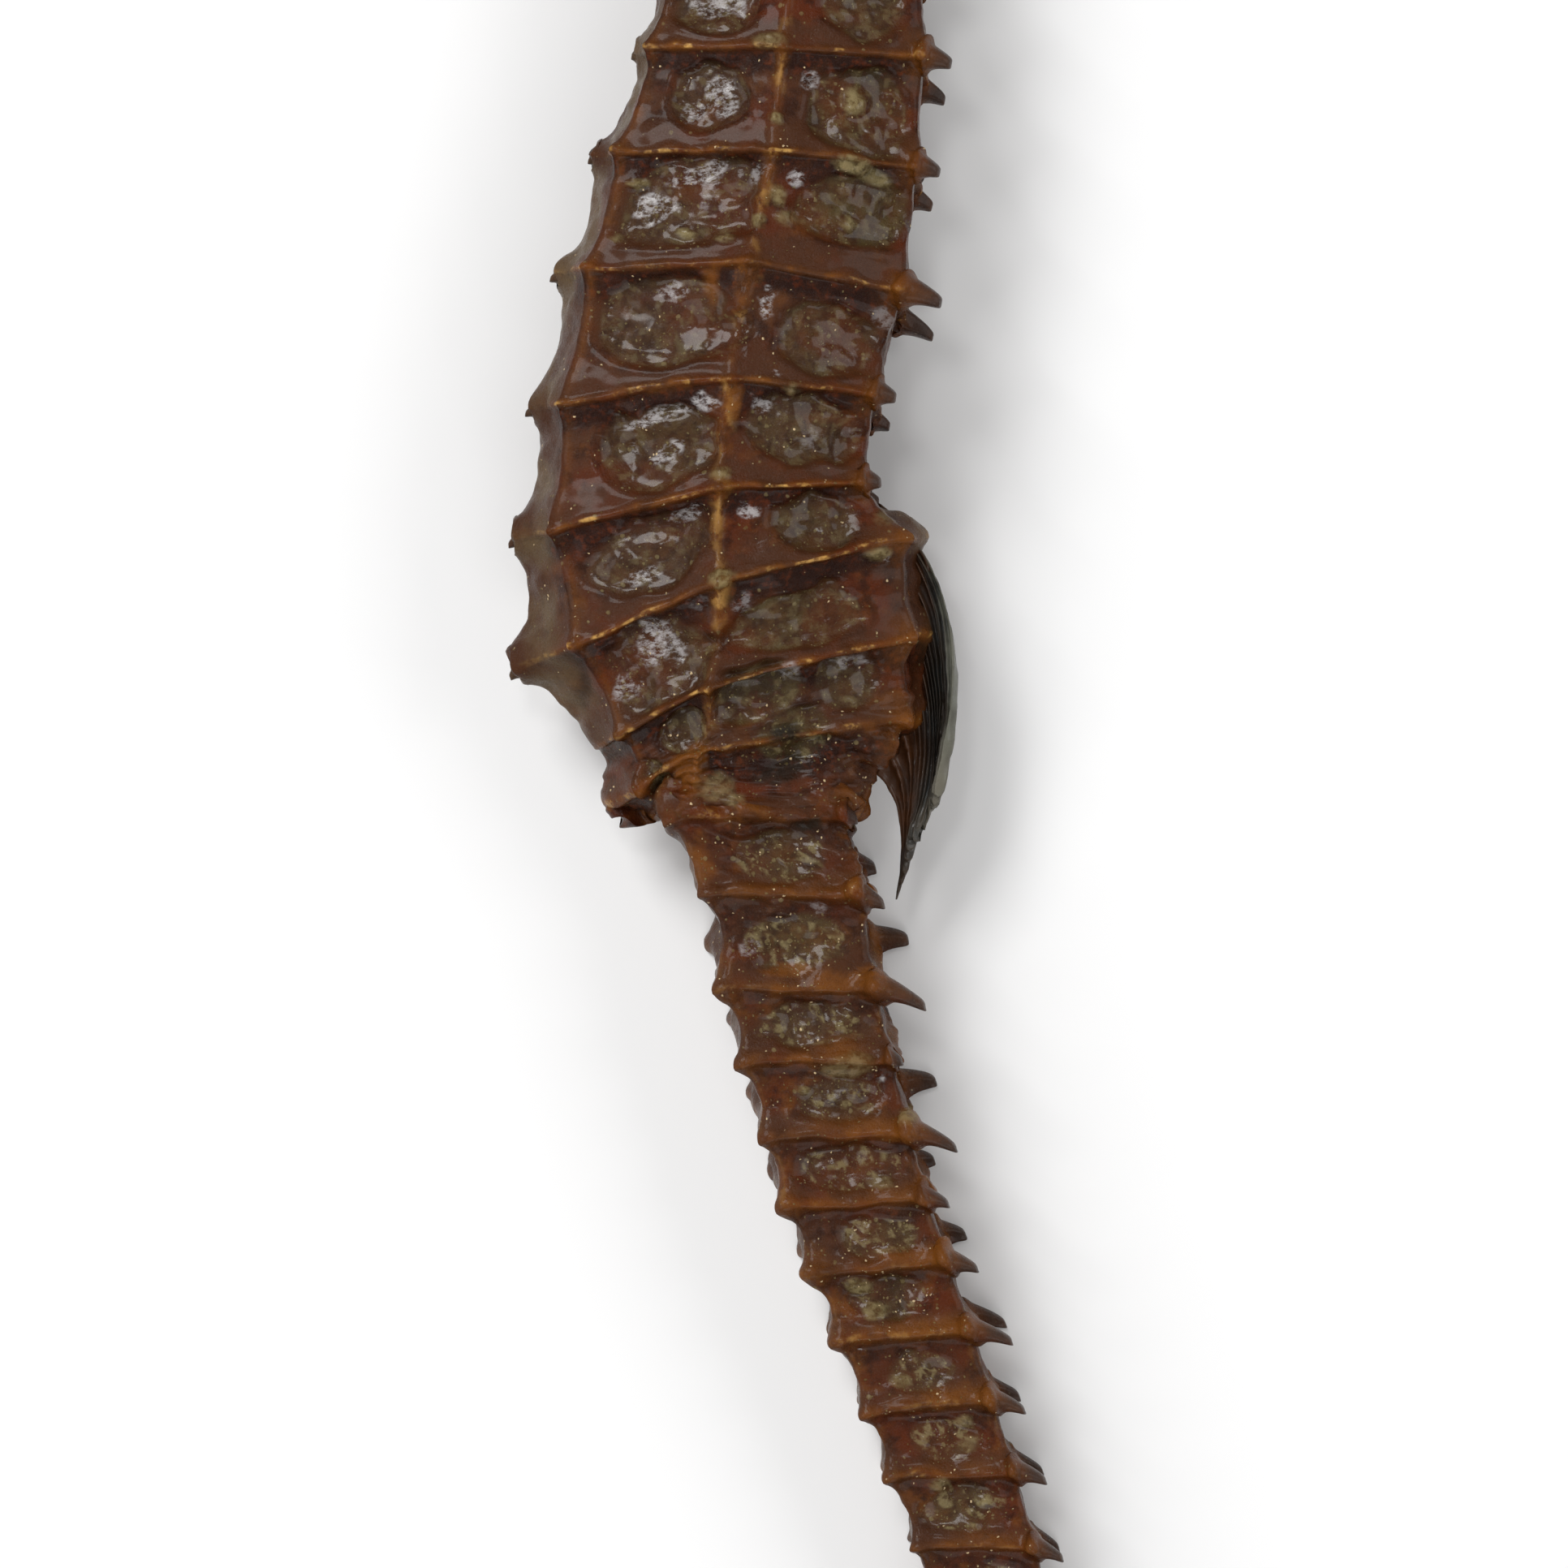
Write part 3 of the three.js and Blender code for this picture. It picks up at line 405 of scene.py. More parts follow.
        point = named(a).lerp(named(b), share)
        middle = Vector((lerp(a.middle[0], b.middle[0], share), lerp(a.middle[1], b.middle[1], share), 0))
        sag = lerp(a.sag, b.sag, share) * math.sin(math.pi * share)
        reach = math.hypot(point.x - middle.x, point.y - middle.y)
        pull = 1 - min(0.5, sag / max(reach, 2 * sag + 0.01))
        wide = max(0.0, point.z - sag * 0.8) * side
        trail = (
            float(np.interp(station, [row[0] for row in LEAN], [row[1] for row in LEAN]))
            * max(0.0, -2 * wide)
        )
        along = self.along(station)
        return Vector((
            middle.x + (point.x - middle.x) * pull + along.x * trail - OUTLINE_MIDDLE[0],
            middle.y + (point.y - middle.y) * pull + along.y * trail - OUTLINE_MIDDLE[1],
            lerp(a.plane, b.plane, share) + wide,
        ))


@dataclass(frozen=True)
class Spine:
    """A spine that grows out of a patch of a cage: its loop, column, ways, length and radius."""

    station: int
    column: int
    out: Vector
    along: Vector
    bend: float
    length: float
    radius: float
    span: int = 1
    point: float = 0.0
    flat: float = 1.0


class Cage:
    """A coarse mesh that is pulled out loop by loop, given spines, and then smoothed."""

    SPINE_STEPS = ((0.04, 1.7), (0.24, 1.25), (0.52, 0.94), (0.82, 0.7), (1.0, 0.48))
    SMOOTHING = 2

    def __init__(
        self,
        name: str,
        loops: Sequence[Sequence[Vector]],
        stations: Sequence[float],
        girths: Sequence[float],
    ) -> None:
        """Pulls the cage out of a first circle.

        Args:
            name: The piece's name.
            loops: The points of each loop, in millimetres.
            stations: Each loop's place along the body.
            girths: Each column's place around it.
        """
        self.girths = girths
        bpy.ops.object.select_all(action="DESELECT")
        bpy.ops.mesh.primitive_circle_add(vertices=len(girths), radius=MM, fill_type="NGON")
        self.obj = bpy.context.object
        self.obj.name = self.obj.data.name = name
        bpy.ops.object.mode_set(mode="EDIT")
        mesh = bmesh.from_edit_mesh(self.obj.data)
        for layer in ("column", "loop", "owner"):
            mesh.verts.layers.int.new(layer)
        for layer in ("station", "girth", "tip", "crown", "u", "v"):
            mesh.verts.layers.float.new(layer)
        column = mesh.verts.layers.int["column"]
        for index, vert in enumerate(mesh.verts):
            vert[column] = index
        for number, (loop, station) in enumerate(zip(loops, stations)):
            if number:
                bpy.ops.mesh.extrude_region_move()
                mesh = bmesh.from_edit_mesh(self.obj.data)
            column, loop_number = mesh.verts.layers.int["column"], mesh.verts.layers.int["loop"]
            place, around = mesh.verts.layers.float["station"], mesh.verts.layers.float["girth"]
            for vert in mesh.verts:
                if vert.select:
                    vert.co = loop[vert[column]] * MM
                    vert[loop_number] = number
                    vert[place] = station
                    vert[around] = girths[vert[column]]
            bmesh.update_edit_mesh(self.obj.data)
        bpy.ops.mesh.select_all(action="SELECT")
        bpy.ops.mesh.normals_make_consistent(inside=False)
        bpy.ops.mesh.select_all(action="DESELECT")
        bpy.ops.object.mode_set(mode="OBJECT")

    def raise_spines(self, spines: Sequence[Spine]) -> None:
        """Pulls spines out of patches of faces, wide at the foot and blunt at the tip.

        Args:
            spines: The spines, each with the loop and column of the patch that it grows from.
        """
        activate(self.obj)
        bpy.ops.object.mode_set(mode="EDIT")
        bpy.ops.mesh.select_mode(type="FACE")
        mesh = bmesh.from_edit_mesh(self.obj.data)
        column, loop_number = mesh.verts.layers.int["column"], mesh.verts.layers.int["loop"]
        owner, crown = mesh.verts.layers.int["owner"], mesh.verts.layers.float["crown"]
        u, v = mesh.verts.layers.float["u"], mesh.verts.layers.float["v"]
        wanted = {}
        for index, spine in enumerate(spines):
            for loop in range(spine.station - spine.span, spine.station + spine.span + 1):
                wanted[(loop, spine.column)] = index
        count = len(self.girths)
        patches: dict[int, set] = {}
        for face in mesh.faces:
            face.select = False
            if len(face.verts) == 4 and not any(vert[crown] for vert in face.verts):
                columns = {vert[column] for vert in face.verts}
                first = max(columns) if columns == {0, count - 1} else min(columns)
                index = wanted.get((min(vert[loop_number] for vert in face.verts), first))
                if index is not None:
                    face.select = True
                    patches.setdefault(index, set()).update(face.verts)
        centres = {}
        for index, verts in patches.items():
            spine = spines[index]
            centre = sum((vert.co for vert in verts), Vector()) / len(verts)
            across = spine.along.cross(spine.out).normalized()
            far = max(abs((vert.co - centre).dot(spine.along)) for vert in verts)
            wide = max(abs((vert.co - centre).dot(across)) for vert in verts)
            for vert in verts:
                vert[owner] = index + 1
                vert[u] = (vert.co - centre).dot(spine.along) / far
                vert[v] = (vert.co - centre).dot(across) / wide
            centres[index] = centre
        bmesh.update_edit_mesh(self.obj.data)
        for share, width in self.SPINE_STEPS:
            bpy.ops.mesh.extrude_region_move()
            mesh = bmesh.from_edit_mesh(self.obj.data)
            owner, tip = mesh.verts.layers.int["owner"], mesh.verts.layers.float["tip"]
            u, v = mesh.verts.layers.float["u"], mesh.verts.layers.float["v"]
            for vert in mesh.verts:
                if not vert.select:
                    continue
                spine = spines[vert[owner] - 1]
                across = spine.along.cross(spine.out).normalized()
                way = spine.out * share + spine.along * spine.bend * share * share
                x = max(-1.0, min(1.0, vert[u]))
                y = max(-1.0, min(1.0, vert[v]))
                flat = (
                    spine.along * x * math.sqrt(1 - y * y / 2)
                    + across * y * math.sqrt(1 - x * x / 2) * lerp(spine.flat, 1.0, share)
                )
                vert.co = (
                    centres[vert[owner] - 1]
                    + (way * spine.length + flat * width * (1 - spine.point * share) * spine.radius) * MM
                )
                vert[tip] = share
            bmesh.update_edit_mesh(self.obj.data)
        bpy.ops.mesh.select_mode(type="VERT")
        bpy.ops.mesh.select_all(action="DESELECT")
        bpy.ops.object.mode_set(mode="OBJECT")

    def finish(self) -> Piece:
        """Smooths the cage and returns its object."""
        add_modifier(self.obj, "SUBSURF", levels=self.SMOOTHING, render_levels=self.SMOOTHING)
        shade_smooth(self.obj)
        return self.obj


def activate(obj: Piece) -> None:
    """Makes an object the only one that is selected, and the active one."""
    bpy.ops.object.select_all(action="DESELECT")
    obj.select_set(True)
    bpy.context.view_layer.objects.active = obj


def add_modifier(obj: Piece, kind: str, **settings: object) -> None:
    """Adds a modifier of a kind to an object, with settings, and applies it."""
    activate(obj)
    modifier = obj.modifiers.new(kind.title(), kind)
    for key, value in settings.items():
        setattr(modifier, key, value)
    bpy.ops.object.modifier_apply(modifier=modifier.name)


def shade_smooth(obj: Piece) -> None:
    """Shades an object's faces smoothly."""
    activate(obj)
    bpy.ops.object.shade_smooth()


class Surface:
    """The vertices of a finished piece as arrays, for relief and for the masks of its finish."""

    def __init__(self, obj: Piece) -> None:
        """Reads the places, normals and layers of a mesh."""
        self.mesh = obj.data
        self.count = len(self.mesh.vertices)
        self.points = self._read(self.mesh.vertices, "co", 3) / MM
        self.normals = self._read(self.mesh.vertex_normals, "vector", 3)

    def _read(self, items: object, key: str, width: int) -> np.ndarray:
        """Returns a property of all items as an array."""
        values = np.empty(self.count * width, dtype=np.float32)
        items.foreach_get(key, values)
        return values.reshape(-1, width).astype(np.float64) if width > 1 else values.astype(np.float64)

    def layer(self, name: str) -> np.ndarray:
        """Returns a number layer of the mesh."""
        return self._read(self.mesh.attributes[name].data, "value", 1)

    def move(self, heights: np.ndarray) -> None:
        """Moves each vertex along its normal by a height in millimetres."""
        self.points += self.normals * heights[:, None]

    def write(self) -> None:
        """Puts the places back, none of them below the floor."""
        self.points[:, 2] = np.maximum(self.points[:, 2], 0)
        self.mesh.vertices.foreach_set("co", (self.points * MM).astype(np.float32).ravel())
        self.mesh.update()

    def paint(self, name: str, channels: Sequence[np.ndarray]) -> None:
        """Stores up to four masks in one colour layer."""
        values = np.zeros((self.count, 4), dtype=np.float32)
        for index, channel in enumerate(channels):
            values[:, index] = np.clip(channel, 0, 1)
        layer = self.mesh.attributes.new(name, "FLOAT_COLOR", "POINT")
        layer.data.foreach_set("color", values.ravel())


@dataclass(frozen=True)
class PlateStyle:
    """The numbers of the relief, for the trunk or the tail. Lengths are millimetres on the largest ring."""

    reach: float
    ridges: tuple[tuple[float, float], ...]
    windows: tuple[tuple[float, float], ...]
    slant: float
    least_tint: float
    window_share: float
    window_depth: float
    granules: float
    waviness: float
    crest_width: float
    crest_height: float
    grain: float
    wobble: float
    folds: float
    crest_paint: tuple[float, float]
    band_paint: float
    dust: float


TRUNK_STYLE = PlateStyle(
    reach=26.0, ridges=((0.25, 0.26), (0.5, 0.22), (0.8, 0.26)), windows=((0.376, 0.104), (0.65, 0.122)),
    slant=1.2, least_tint=0.0, window_share=1.0, window_depth=0.32, granules=0.025, waviness=0.1,
    crest_width=0.15, crest_height=0.17, grain=0.06, wobble=0.07, folds=34, crest_paint=(1.0, 0.0),
    band_paint=1.0, dust=0.4,
)
TAIL_STYLE = PlateStyle(
    reach=12.5, ridges=((0.25, 0.3), (0.75, 0.3)), windows=((0.5, 0.195),),
    slant=-0.3, least_tint=0.4, window_share=0.8, window_depth=0.2, granules=0.1, waviness=0.24,
    crest_width=0.27, crest_height=0.2, grain=0.1, wobble=0.12, folds=26, crest_paint=(0.7, 0.5),
    band_paint=0.55, dust=1.0,
)


class PlateRelief:
    """The relief of the bony rings: crests, hollows, ridges and wrinkles, and where each of them is."""

    SEED = 11
    OUTSIDE = 9.0

    def __init__(self, line: BodyLine, layout: Layout) -> None:
        """Keeps the run of sections and the layout of their ridges."""
        self.line = line
        self.layout = layout
        self.style = TRUNK_STYLE if layout is Layout.TRUNK else TAIL_STYLE
        self.random = np.random.default_rng(self.SEED)

    def apply(self, obj: Piece) -> None:
        """Shapes a smoothed skin and paints its masks."""
        surface = Surface(obj)
        station, girth, tip = surface.layer("station"), surface.layer("girth"), surface.layer("tip")
        pitches = np.array([self.line.pitch(i + 0.5) for i in range(self.line.last + 1)])
        scale = np.array([self.line.scale(float(s)) for s in station])
        index = np.clip(np.floor(station).astype(int), 0, self.line.last)
        part = station - index
        pitch = pitches[np.minimum(index, len(pitches) - 1)]
        nearest = np.round(station).astype(int)
        offset = (station - nearest) * pitch
        wobble = roughness_at(surface.points, 2.2, 2)
        grain = roughness_at(surface.points + 31, 1.0, 2)
        fine = roughness_at(surface.points + 7, 0.4, 2)
        style, trunk = self.style, self.layout is Layout.TRUNK
        offset = offset + wobble * style.waviness * scale
        ringed = smooth(station, NECK_ROWS - 0.6, NECK_ROWS - 0.2)
        body = 1 - smooth(tip, 0.05, 0.35)
        flat = surface.points.copy()
        flat[:, 0] += wobble * 0.18 + grain * 0.05
        flat[:, 1] += grain * 0.12
        upper = smooth(surface.normals[:, 2], -0.1, 0.15)
        ridge_width = style.crest_width * np.maximum(scale, 0.5)
        crest = bell(offset, ridge_width * (1 + 0.4 * wobble + 0.3 * grain)) * ringed
        band = (
            smooth(offset, 0.06, 0.2) * (1 - smooth(offset, 0.6 * scale + 0.05, 1.3 * scale + 0.1)) * ringed
        )
        window, rim, tone = np.zeros_like(station), np.zeros_like(station), np.zeros_like(station)
        reach = style.reach * scale
        for centre, width in style.windows:
            shift = self.random.uniform(-0.03, 0.03, self.line.last + 2)
            size = self.random.uniform(0.8, 1.12, self.line.last + 2)
            tint = self.random.uniform(style.least_tint, 1, self.line.last + 2)
            q = (
                ((part - 0.5 - shift[index] * 2 - (girth - centre) * style.slant) / 0.33) ** 2
                + ((girth - centre - shift[index]) / (width * size[index])) ** 2
            )
            q = np.where((index < 6) | (index > 14), q * (1 + wobble * 0.35 + grain * 0.3), self.OUTSIDE)
            window = np.maximum(window, (1 - smooth(q, 0.62, 1.2)) * style.window_share)
            rim = np.maximum(rim, bell(q - 1.3, 0.2) * (0.5 + 0.5 * wobble))
            tone = np.where(np.abs(girth - centre) < 0.15, tint[index], tone)
        if trunk:
            rows = smooth(girth, 0.255, 0.29) * (1 - smooth(girth, 0.84, 0.88))
            for row in WINDOWS:
                q = Spot(*row).spread(flat, 0.12) * (1 + wobble * 0.5 + grain * 0.2)
                window = np.maximum(window, (1 - smooth(q, 0.62, 1.2)) * rows)
                rim = np.maximum(rim, bell(q - 1.2, 0.15) * rows * (0.5 + 0.7 * wobble))
                tone = np.where(q < 1.3, row[5], tone)
        window = window * ringed * (1 - 0.8 * crest)
        fray = grain * 0.9 + fine * 0.5
        granules = np.abs(roughness_at(surface.points * (1, 1, 0.6), 0.5, 1)) * 2.4
        # Pale patches: salt crust and painted reflections, on the side that faces up.
        frost_and_reflection, lump = marks(FROST_AND_REFLECTIONS, flat, fray) * upper, marks(LUMPS, flat, fray * 0.3) * upper
        gold, stain = marks(GLOWS, flat, fray * 0.6) * upper, marks(STAINS, flat, fray * 0.6) * upper
        if trunk:
            gold = np.maximum(gold, bell((girth - 0.262) * reach, 0.16) * ringed * (0.35 + 0.4 * wobble))
            gold = np.maximum(
                gold, bell((girth - 0.79) * reach, 0.8) * bell(offset - 0.1, 0.8) * ringed * 0.75,
            )
        else:
            gold = np.maximum(
                gold,
                bell(offset + 0.3 * scale, 0.5 * scale) * (0.6 + 0.7 * wobble) * smooth(girth, 0.3, 0.62)
                * smooth(station, 14.8, 16.6),
            )
        edges = np.zeros_like(station)
        for centre, width in style.ridges:
            edges = np.maximum(edges, bell((girth - centre) * reach, width + 0.1 * wobble))
        column = np.clip(1.15 - 1.3 * part, 0.35, 1.0) * (0.85 + 0.3 * wobble)
        side_ridge = (
            bell((girth - 0.5) * reach, 0.36 + 0.14 * wobble) * column if trunk
            else edges * (0.25 + 0.4 * wobble)
        )
        junction = edges * bell(offset - 0.1, 0.42 * scale)
        keel = (
            np.maximum(
                1 - smooth(girth + wobble * 0.03 + grain * 0.015, 0.16, 0.245),
                smooth(girth, 0.87, 0.95) * 0.8,
            )
            if trunk else np.maximum(1 - smooth(girth, 0.16, 0.3), smooth(girth, 0.78, 0.9) * 0.5)
        )
        mauve = smooth(part, 0.6, 0.82) * (1 - crest)
        fibres = np.sin(girth * reach * 19 + wobble * 5 + grain * 2)
        folds = np.sin(station * style.folds + wobble * 6)
        creases = np.sin((surface.points[:, 0] * 0.5 + surface.points[:, 1]) * 5.5 + wobble * 5)
        messy = smooth(station, 13.1, 14.3) * (1 - smooth(station, 15.3, 17.0))
        keel = keel * ((1 - 0.9 * smooth(station, 12.3, 13.5)) if trunk else 0.45)
        soft = 1 - 0.72 * (1 - smooth(girth, 0.1, 0.26))
        height = crest * (style.crest_height + 0.06 * grain) * scale * soft
        height += (
            -band * 0.1 * scale - window * style.window_depth * scale * (1 - messy * 0.6) + rim * 0.06 * scale
        )
        height += (
            edges * 0.12 * scale * (0.4 + ringed * 0.6) + junction * 0.2 * scale + side_ridge * 0.08 * scale
        )
        height += side_ridge * fibres * 0.03 + mauve * 0.05 * scale
        height += grain * style.grain * scale + wobble * style.wobble * scale
        height += window * (grain * 0.15 + wobble * 0.12) * scale + frost_and_reflection * grain * 0.08 + lump * 0.18
        calm = smooth(girth, 0.24, 0.36)
        height += (
            folds * (0.01 + 0.05 * messy * calm) * scale * (1 - crest) * (1 - 0.6 * window)
            + 0.4 * marks(BULGES, flat, wobble * 0.2)
        )
        height += window * (granules - 0.3) * style.granules * scale + keel * (wobble * 0.1 + grain * 0.05)
        height += messy * (wobble * 0.2 + creases * 0.09 * (1 - window) * calm) - stain * 0.16 + gold * 0.05
        if trunk:
            base = smooth(station, 11.2, 11.9) * (1 - smooth(station, 13.7, 14.5)) * smooth(girth, 0.86, 0.97)
            height += base * (0.75 + 0.25 * wobble)
            knobs = np.zeros(self.line.last + 2)
            knobs[NECK_ROWS:NECK_ROWS + TRUNK_RINGS] = KEEL_BUMPS
            height += knobs[nearest] * bell(offset + 0.1, 0.75) * (1 - smooth(girth, 0.02, 0.13)) * 0.85
        else:
            lobes = bell(offset, 1.05 * scale) * 0.42 - bell(offset, 0.38 * scale) * 0.17 - 0.12
            height += lobes * scale * (1 - smooth(girth, 0.14, 0.36))
        surface.move(height * body + tip * 0.03 * grain * scale)
        surface.write()
        least, more = style.crest_paint
        painted = crest * (least + more * wobble)
        surface.paint(
            "plate", (painted * body, band * body * style.band_paint, window * body, side_ridge * body),
        )
        surface.paint("place", (keel, mauve * body, tip, tone))
        texture = np.where(window > 0.35, granules, 0.5 + 0.5 * fibres)
        surface.paint("bloom", (frost_and_reflection, style.dust + 0.5 * messy, texture))
        surface.paint("mark", (lump, gold, stain, rim * body))


class TrunkSkin:
    """The neck and trunk as one skin, down to where the tail comes out."""

    GIRTHS = (
        0.03, 0.11, 0.18, 0.25, 0.29, 0.33, 0.37, 0.41, 0.455, 0.5, 0.545, 0.59, 0.64, 0.69, 0.735, 0.775,
        0.825, 0.89, 0.965,
    )

    STEPS = (0.035, 0.105, 0.19, 0.3, 0.42, 0.55, 0.68, 0.79, 0.88, 0.955)
    NECK_END, TRUNK_END = 3.6, 14.94
    CLOSING = ((0.95, 0.08), (0.86, 0.04), (0.7, -0.3))

    def __init__(self, line: BodyLine) -> None:
        """Keeps the run of sections."""
        self.line = line

    def _stations(self) -> list[float]:
        """Returns the loops' places: close together on the rings, wider on the neck."""
        rings = [ring + step for ring in range(NECK_ROWS - 1, TAIL_FIRST) for step in self.STEPS]
        return [
            *[i * 0.25 for i in range(15)],
            *[place for place in rings if self.NECK_END < place < self.TRUNK_END],
        ]

    def build(self) -> Piece:
        """Returns the finished skin."""
        stations = self._stations()
        columns = both_sides(self.GIRTHS)
        loops = [
            [self.line.at(place, girth, side, Layout.TRUNK) for girth, side in columns] for place in stations
        ]
        first = sum(loops[0], Vector()) / len(loops[0])
        into_head = Vector((-0.98, -0.2, 0)) * 1.3
        tucked = [(point - first) * 0.86 + first + into_head for point in loops[0]]
        end = sum(loops[-1], Vector()) / len(loops[-1])
        closing = [
            [(point - end) * share + end + self.line.along(14.5) * depth for point in loops[-1]]
            for share, depth in self.CLOSING
        ]
        loops = [tucked, *loops, *closing]
        places = [stations[0] - 0.3, *stations, *([stations[-1]] * 3)]
        cage = Cage("trunk_skin", loops, places, [girth for girth, _ in columns])
        self._add_spines(cage, places)
        skin = cage.finish()
        PlateRelief(self.line, Layout.TRUNK).apply(skin)
        return skin

    def _add_spines(self, cage: Cage, places: Sequence[float]) -> None:
        """Raises the keel's knobs and the spines along the back."""
        count = len(self.GIRTHS)
        back = self.GIRTHS.index(0.775)
        spines = []
        for ring in range(TRUNK_RINGS):
            station = NECK_ROWS + ring
            loop = max(i for i, place in enumerate(places) if place < station)
            along = self.line.along(station)
            out = self.line.outwards(station, self.line.at(station, 0.0, 1, Layout.TRUNK))
            if KEEL_BUMPS[ring]:
                spines.append(
                    Spine(loop, 2 * count - 1, out, along, 0.35, KEEL_BUMPS[ring], 0.4, 1, 0.2, 0.6)
                )
            if BACK_SPINES[ring]:
                for side, column in ((1, back), (-1, 2 * count - 2 - back)):
                    out = self.line.outwards(station, self.line.at(station, 0.8, side, Layout.TRUNK))
                    lift = Vector((0, 0, 0.22 if side > 0 else 0.0))
                    thick = 0.38 + 0.24 * min(1.0, BACK_SPINES[ring])
                    spines.append(
                        Spine(
                            loop, column, out + lift - along * 0.05, along, 0.3, BACK_SPINES[ring] * 1.22,
                            thick,
                        )
                    )
        cage.raise_spines(spines)


class TailSkin:
    """The tail as one skin, from inside the trunk's end to the tip of the curl."""

    GIRTHS = (0.06, 0.16, 0.25, 0.31, 0.39, 0.47, 0.55, 0.63, 0.7, 0.78, 0.86, 0.95)
    FINE_RINGS = 12
    MIDDLE_RINGS = 22
    FIRST_PLACES = (14.3, 14.6, 14.84, 14.955)
    FINE_STEPS = (0.045, 0.13, 0.27, 0.46, 0.66, 0.84, 0.955)
    MIDDLE_STEPS = (0.08, 0.26, 0.5, 0.74, 0.92)
    COARSE_STEPS = (0.08, 0.34, 0.66, 0.92)
    TIP_LOOPS = ((0.78, 0.55), (0.5, 1.15), (0.2, 1.5))

    def __init__(self, line: BodyLine) -> None:
        """Keeps the run of sections."""
        self.line = line

    def _stations(self) -> list[float]:
        """Returns the loops' places, with fewer to a ring in the curl."""
        places = [*self.FIRST_PLACES]
        for ring in range(TAIL_FIRST, self.line.last):
            steps = self.COARSE_STEPS
            if ring - TAIL_FIRST < self.FINE_RINGS:
                steps = self.FINE_STEPS
            elif ring - TAIL_FIRST < self.MIDDLE_RINGS:
                steps = self.MIDDLE_STEPS
            places += [ring + step for step in steps]
        return places

    def _point(self, place: float, girth: float, side: int) -> Vector:
        """Returns a point of the tail, also before its first ring."""
        if place >= TAIL_FIRST:
            return self.line.at(place, girth, side, Layout.TAIL)
        back = TAIL_FIRST - place
        point = self.line.at(TAIL_FIRST, girth, side, Layout.TAIL)
        middle = self.line.centre(TAIL_FIRST)
        middle.z = self.line.stations[TAIL_FIRST].plane
        shrink = 1 - 0.12 * back
        return middle + (point - middle) * shrink - self.line.along(TAIL_FIRST) * back * 2.9

    def build(self) -> Piece:
        """Returns the finished skin."""
        places = self._stations()
        columns = both_sides(self.GIRTHS)
        loops = [[self._point(place, girth, side) for girth, side in columns] for place in places]
        tip = sum(loops[-1], Vector()) / len(loops[-1])
        way = self.line.along(self.line.last)
        last = loops[-1]
        loops += [
            [(point - tip) * share + tip + way * reach for point in last] for share, reach in self.TIP_LOOPS
        ]
        places += [places[-1] + 0.2, places[-1] + 0.3, places[-1] + 0.4]
        cage = Cage("tail_skin", loops, places, [girth for girth, _ in columns])
        self._add_spines(cage, places)
        skin = cage.finish()
        PlateRelief(self.line, Layout.TAIL).apply(skin)
        return skin

    def _add_spines(self, cage: Cage, places: Sequence[float]) -> None:
        """Raises the spines along both upper corners."""
        count = len(self.GIRTHS)
        corner = self.GIRTHS.index(0.7)
        spines = []
        for ring in range(TAIL_SPINE_RINGS):
            station = TAIL_FIRST + ring
            loop = max(i for i, place in enumerate(places) if place < station)
            along = self.line.along(station)
            length = (
                TAIL_SPINES[ring] if ring < len(TAIL_SPINES)
                else TAIL_SPINES[9 + ring % 6] * lerp(1, 0.3, ring / TAIL_SPINE_RINGS) * 1.1
            )
            for side, column in ((1, corner), (-1, 2 * count - 2 - corner)):
                out = self.line.outwards(station, self.line.at(station, 0.75, side, Layout.TAIL))
                lift = Vector((0, 0, 0.18 if side > 0 else 0.02))
                thick = (0.42 + 0.32 * min(1.0, length)) * lerp(1, 0.5, ring / TAIL_SPINE_RINGS)
                spines.append(
                    Spine(
                        loop, column, out + lift + along * 0.05, along, 0.36, length * 1.1, thick,
                        int(ring < self.FINE_RINGS),
                    )
                )
        cage.raise_spines(spines)


def head_point(along: float, up: float, across: float) -> Vector:
    """Returns the place of a point of the head, in millimetres.

    Args:
        along: How far behind the snout's tip it is.
        up: Its height towards the crown.
        across: How far to the left of the middle plane it is.
    """
    c, s = math.cos(math.radians(HEAD_TILT)), math.sin(math.radians(HEAD_TILT))
    x = SNOUT_TIP[0] + along * c - up * s - OUTLINE_MIDDLE[0]
    y = SNOUT_TIP[1] + along * s + up * c - OUTLINE_MIDDLE[1]
    return Vector((x, y, HEAD_PLANE + across))


def head_places(points: np.ndarray) -> tuple[np.ndarray, np.ndarray, np.ndarray]:
    """Returns how far along, up and across the head points are."""
    c, s = math.cos(math.radians(HEAD_TILT)), math.sin(math.radians(HEAD_TILT))
    x = points[:, 0] + OUTLINE_MIDDLE[0] - SNOUT_TIP[0]
    y = points[:, 1] + OUTLINE_MIDDLE[1] - SNOUT_TIP[1]
    return x * c + y * s, y * c - x * s, points[:, 2] - HEAD_PLANE


def eased(rows: Rows, at: float) -> list[float]:
    """Returns the values of a table at a place, on a smooth curve through its rows."""
    index = max(0, min(len(rows) - 2, sum(1 for row in rows if row[0] <= at) - 1))
    r0, r1, r2, r3 = rows[max(0, index - 1)], rows[index], rows[index + 1], rows[
        min(len(rows) - 1, index + 2)
    ]
    span = r2[0] - r1[0]
    t = min(1.0, max(0.0, (at - r1[0]) / span))
    values = []
    for column in range(1, len(r1)):
        start = (r2[column] - r0[column]) / max(r2[0] - r0[0], 1e-6) * span
        stop = (r3[column] - r1[column]) / max(r3[0] - r1[0], 1e-6) * span
        a, b = r1[column], r2[column]
        values.append(
            (2 * t**3 - 3 * t**2 + 1) * a + (t**3 - 2 * t**2 + t) * start + (3 * t**2 - 2 * t**3) * b
            + (t**3 - t**2) * stop
        )
    return values


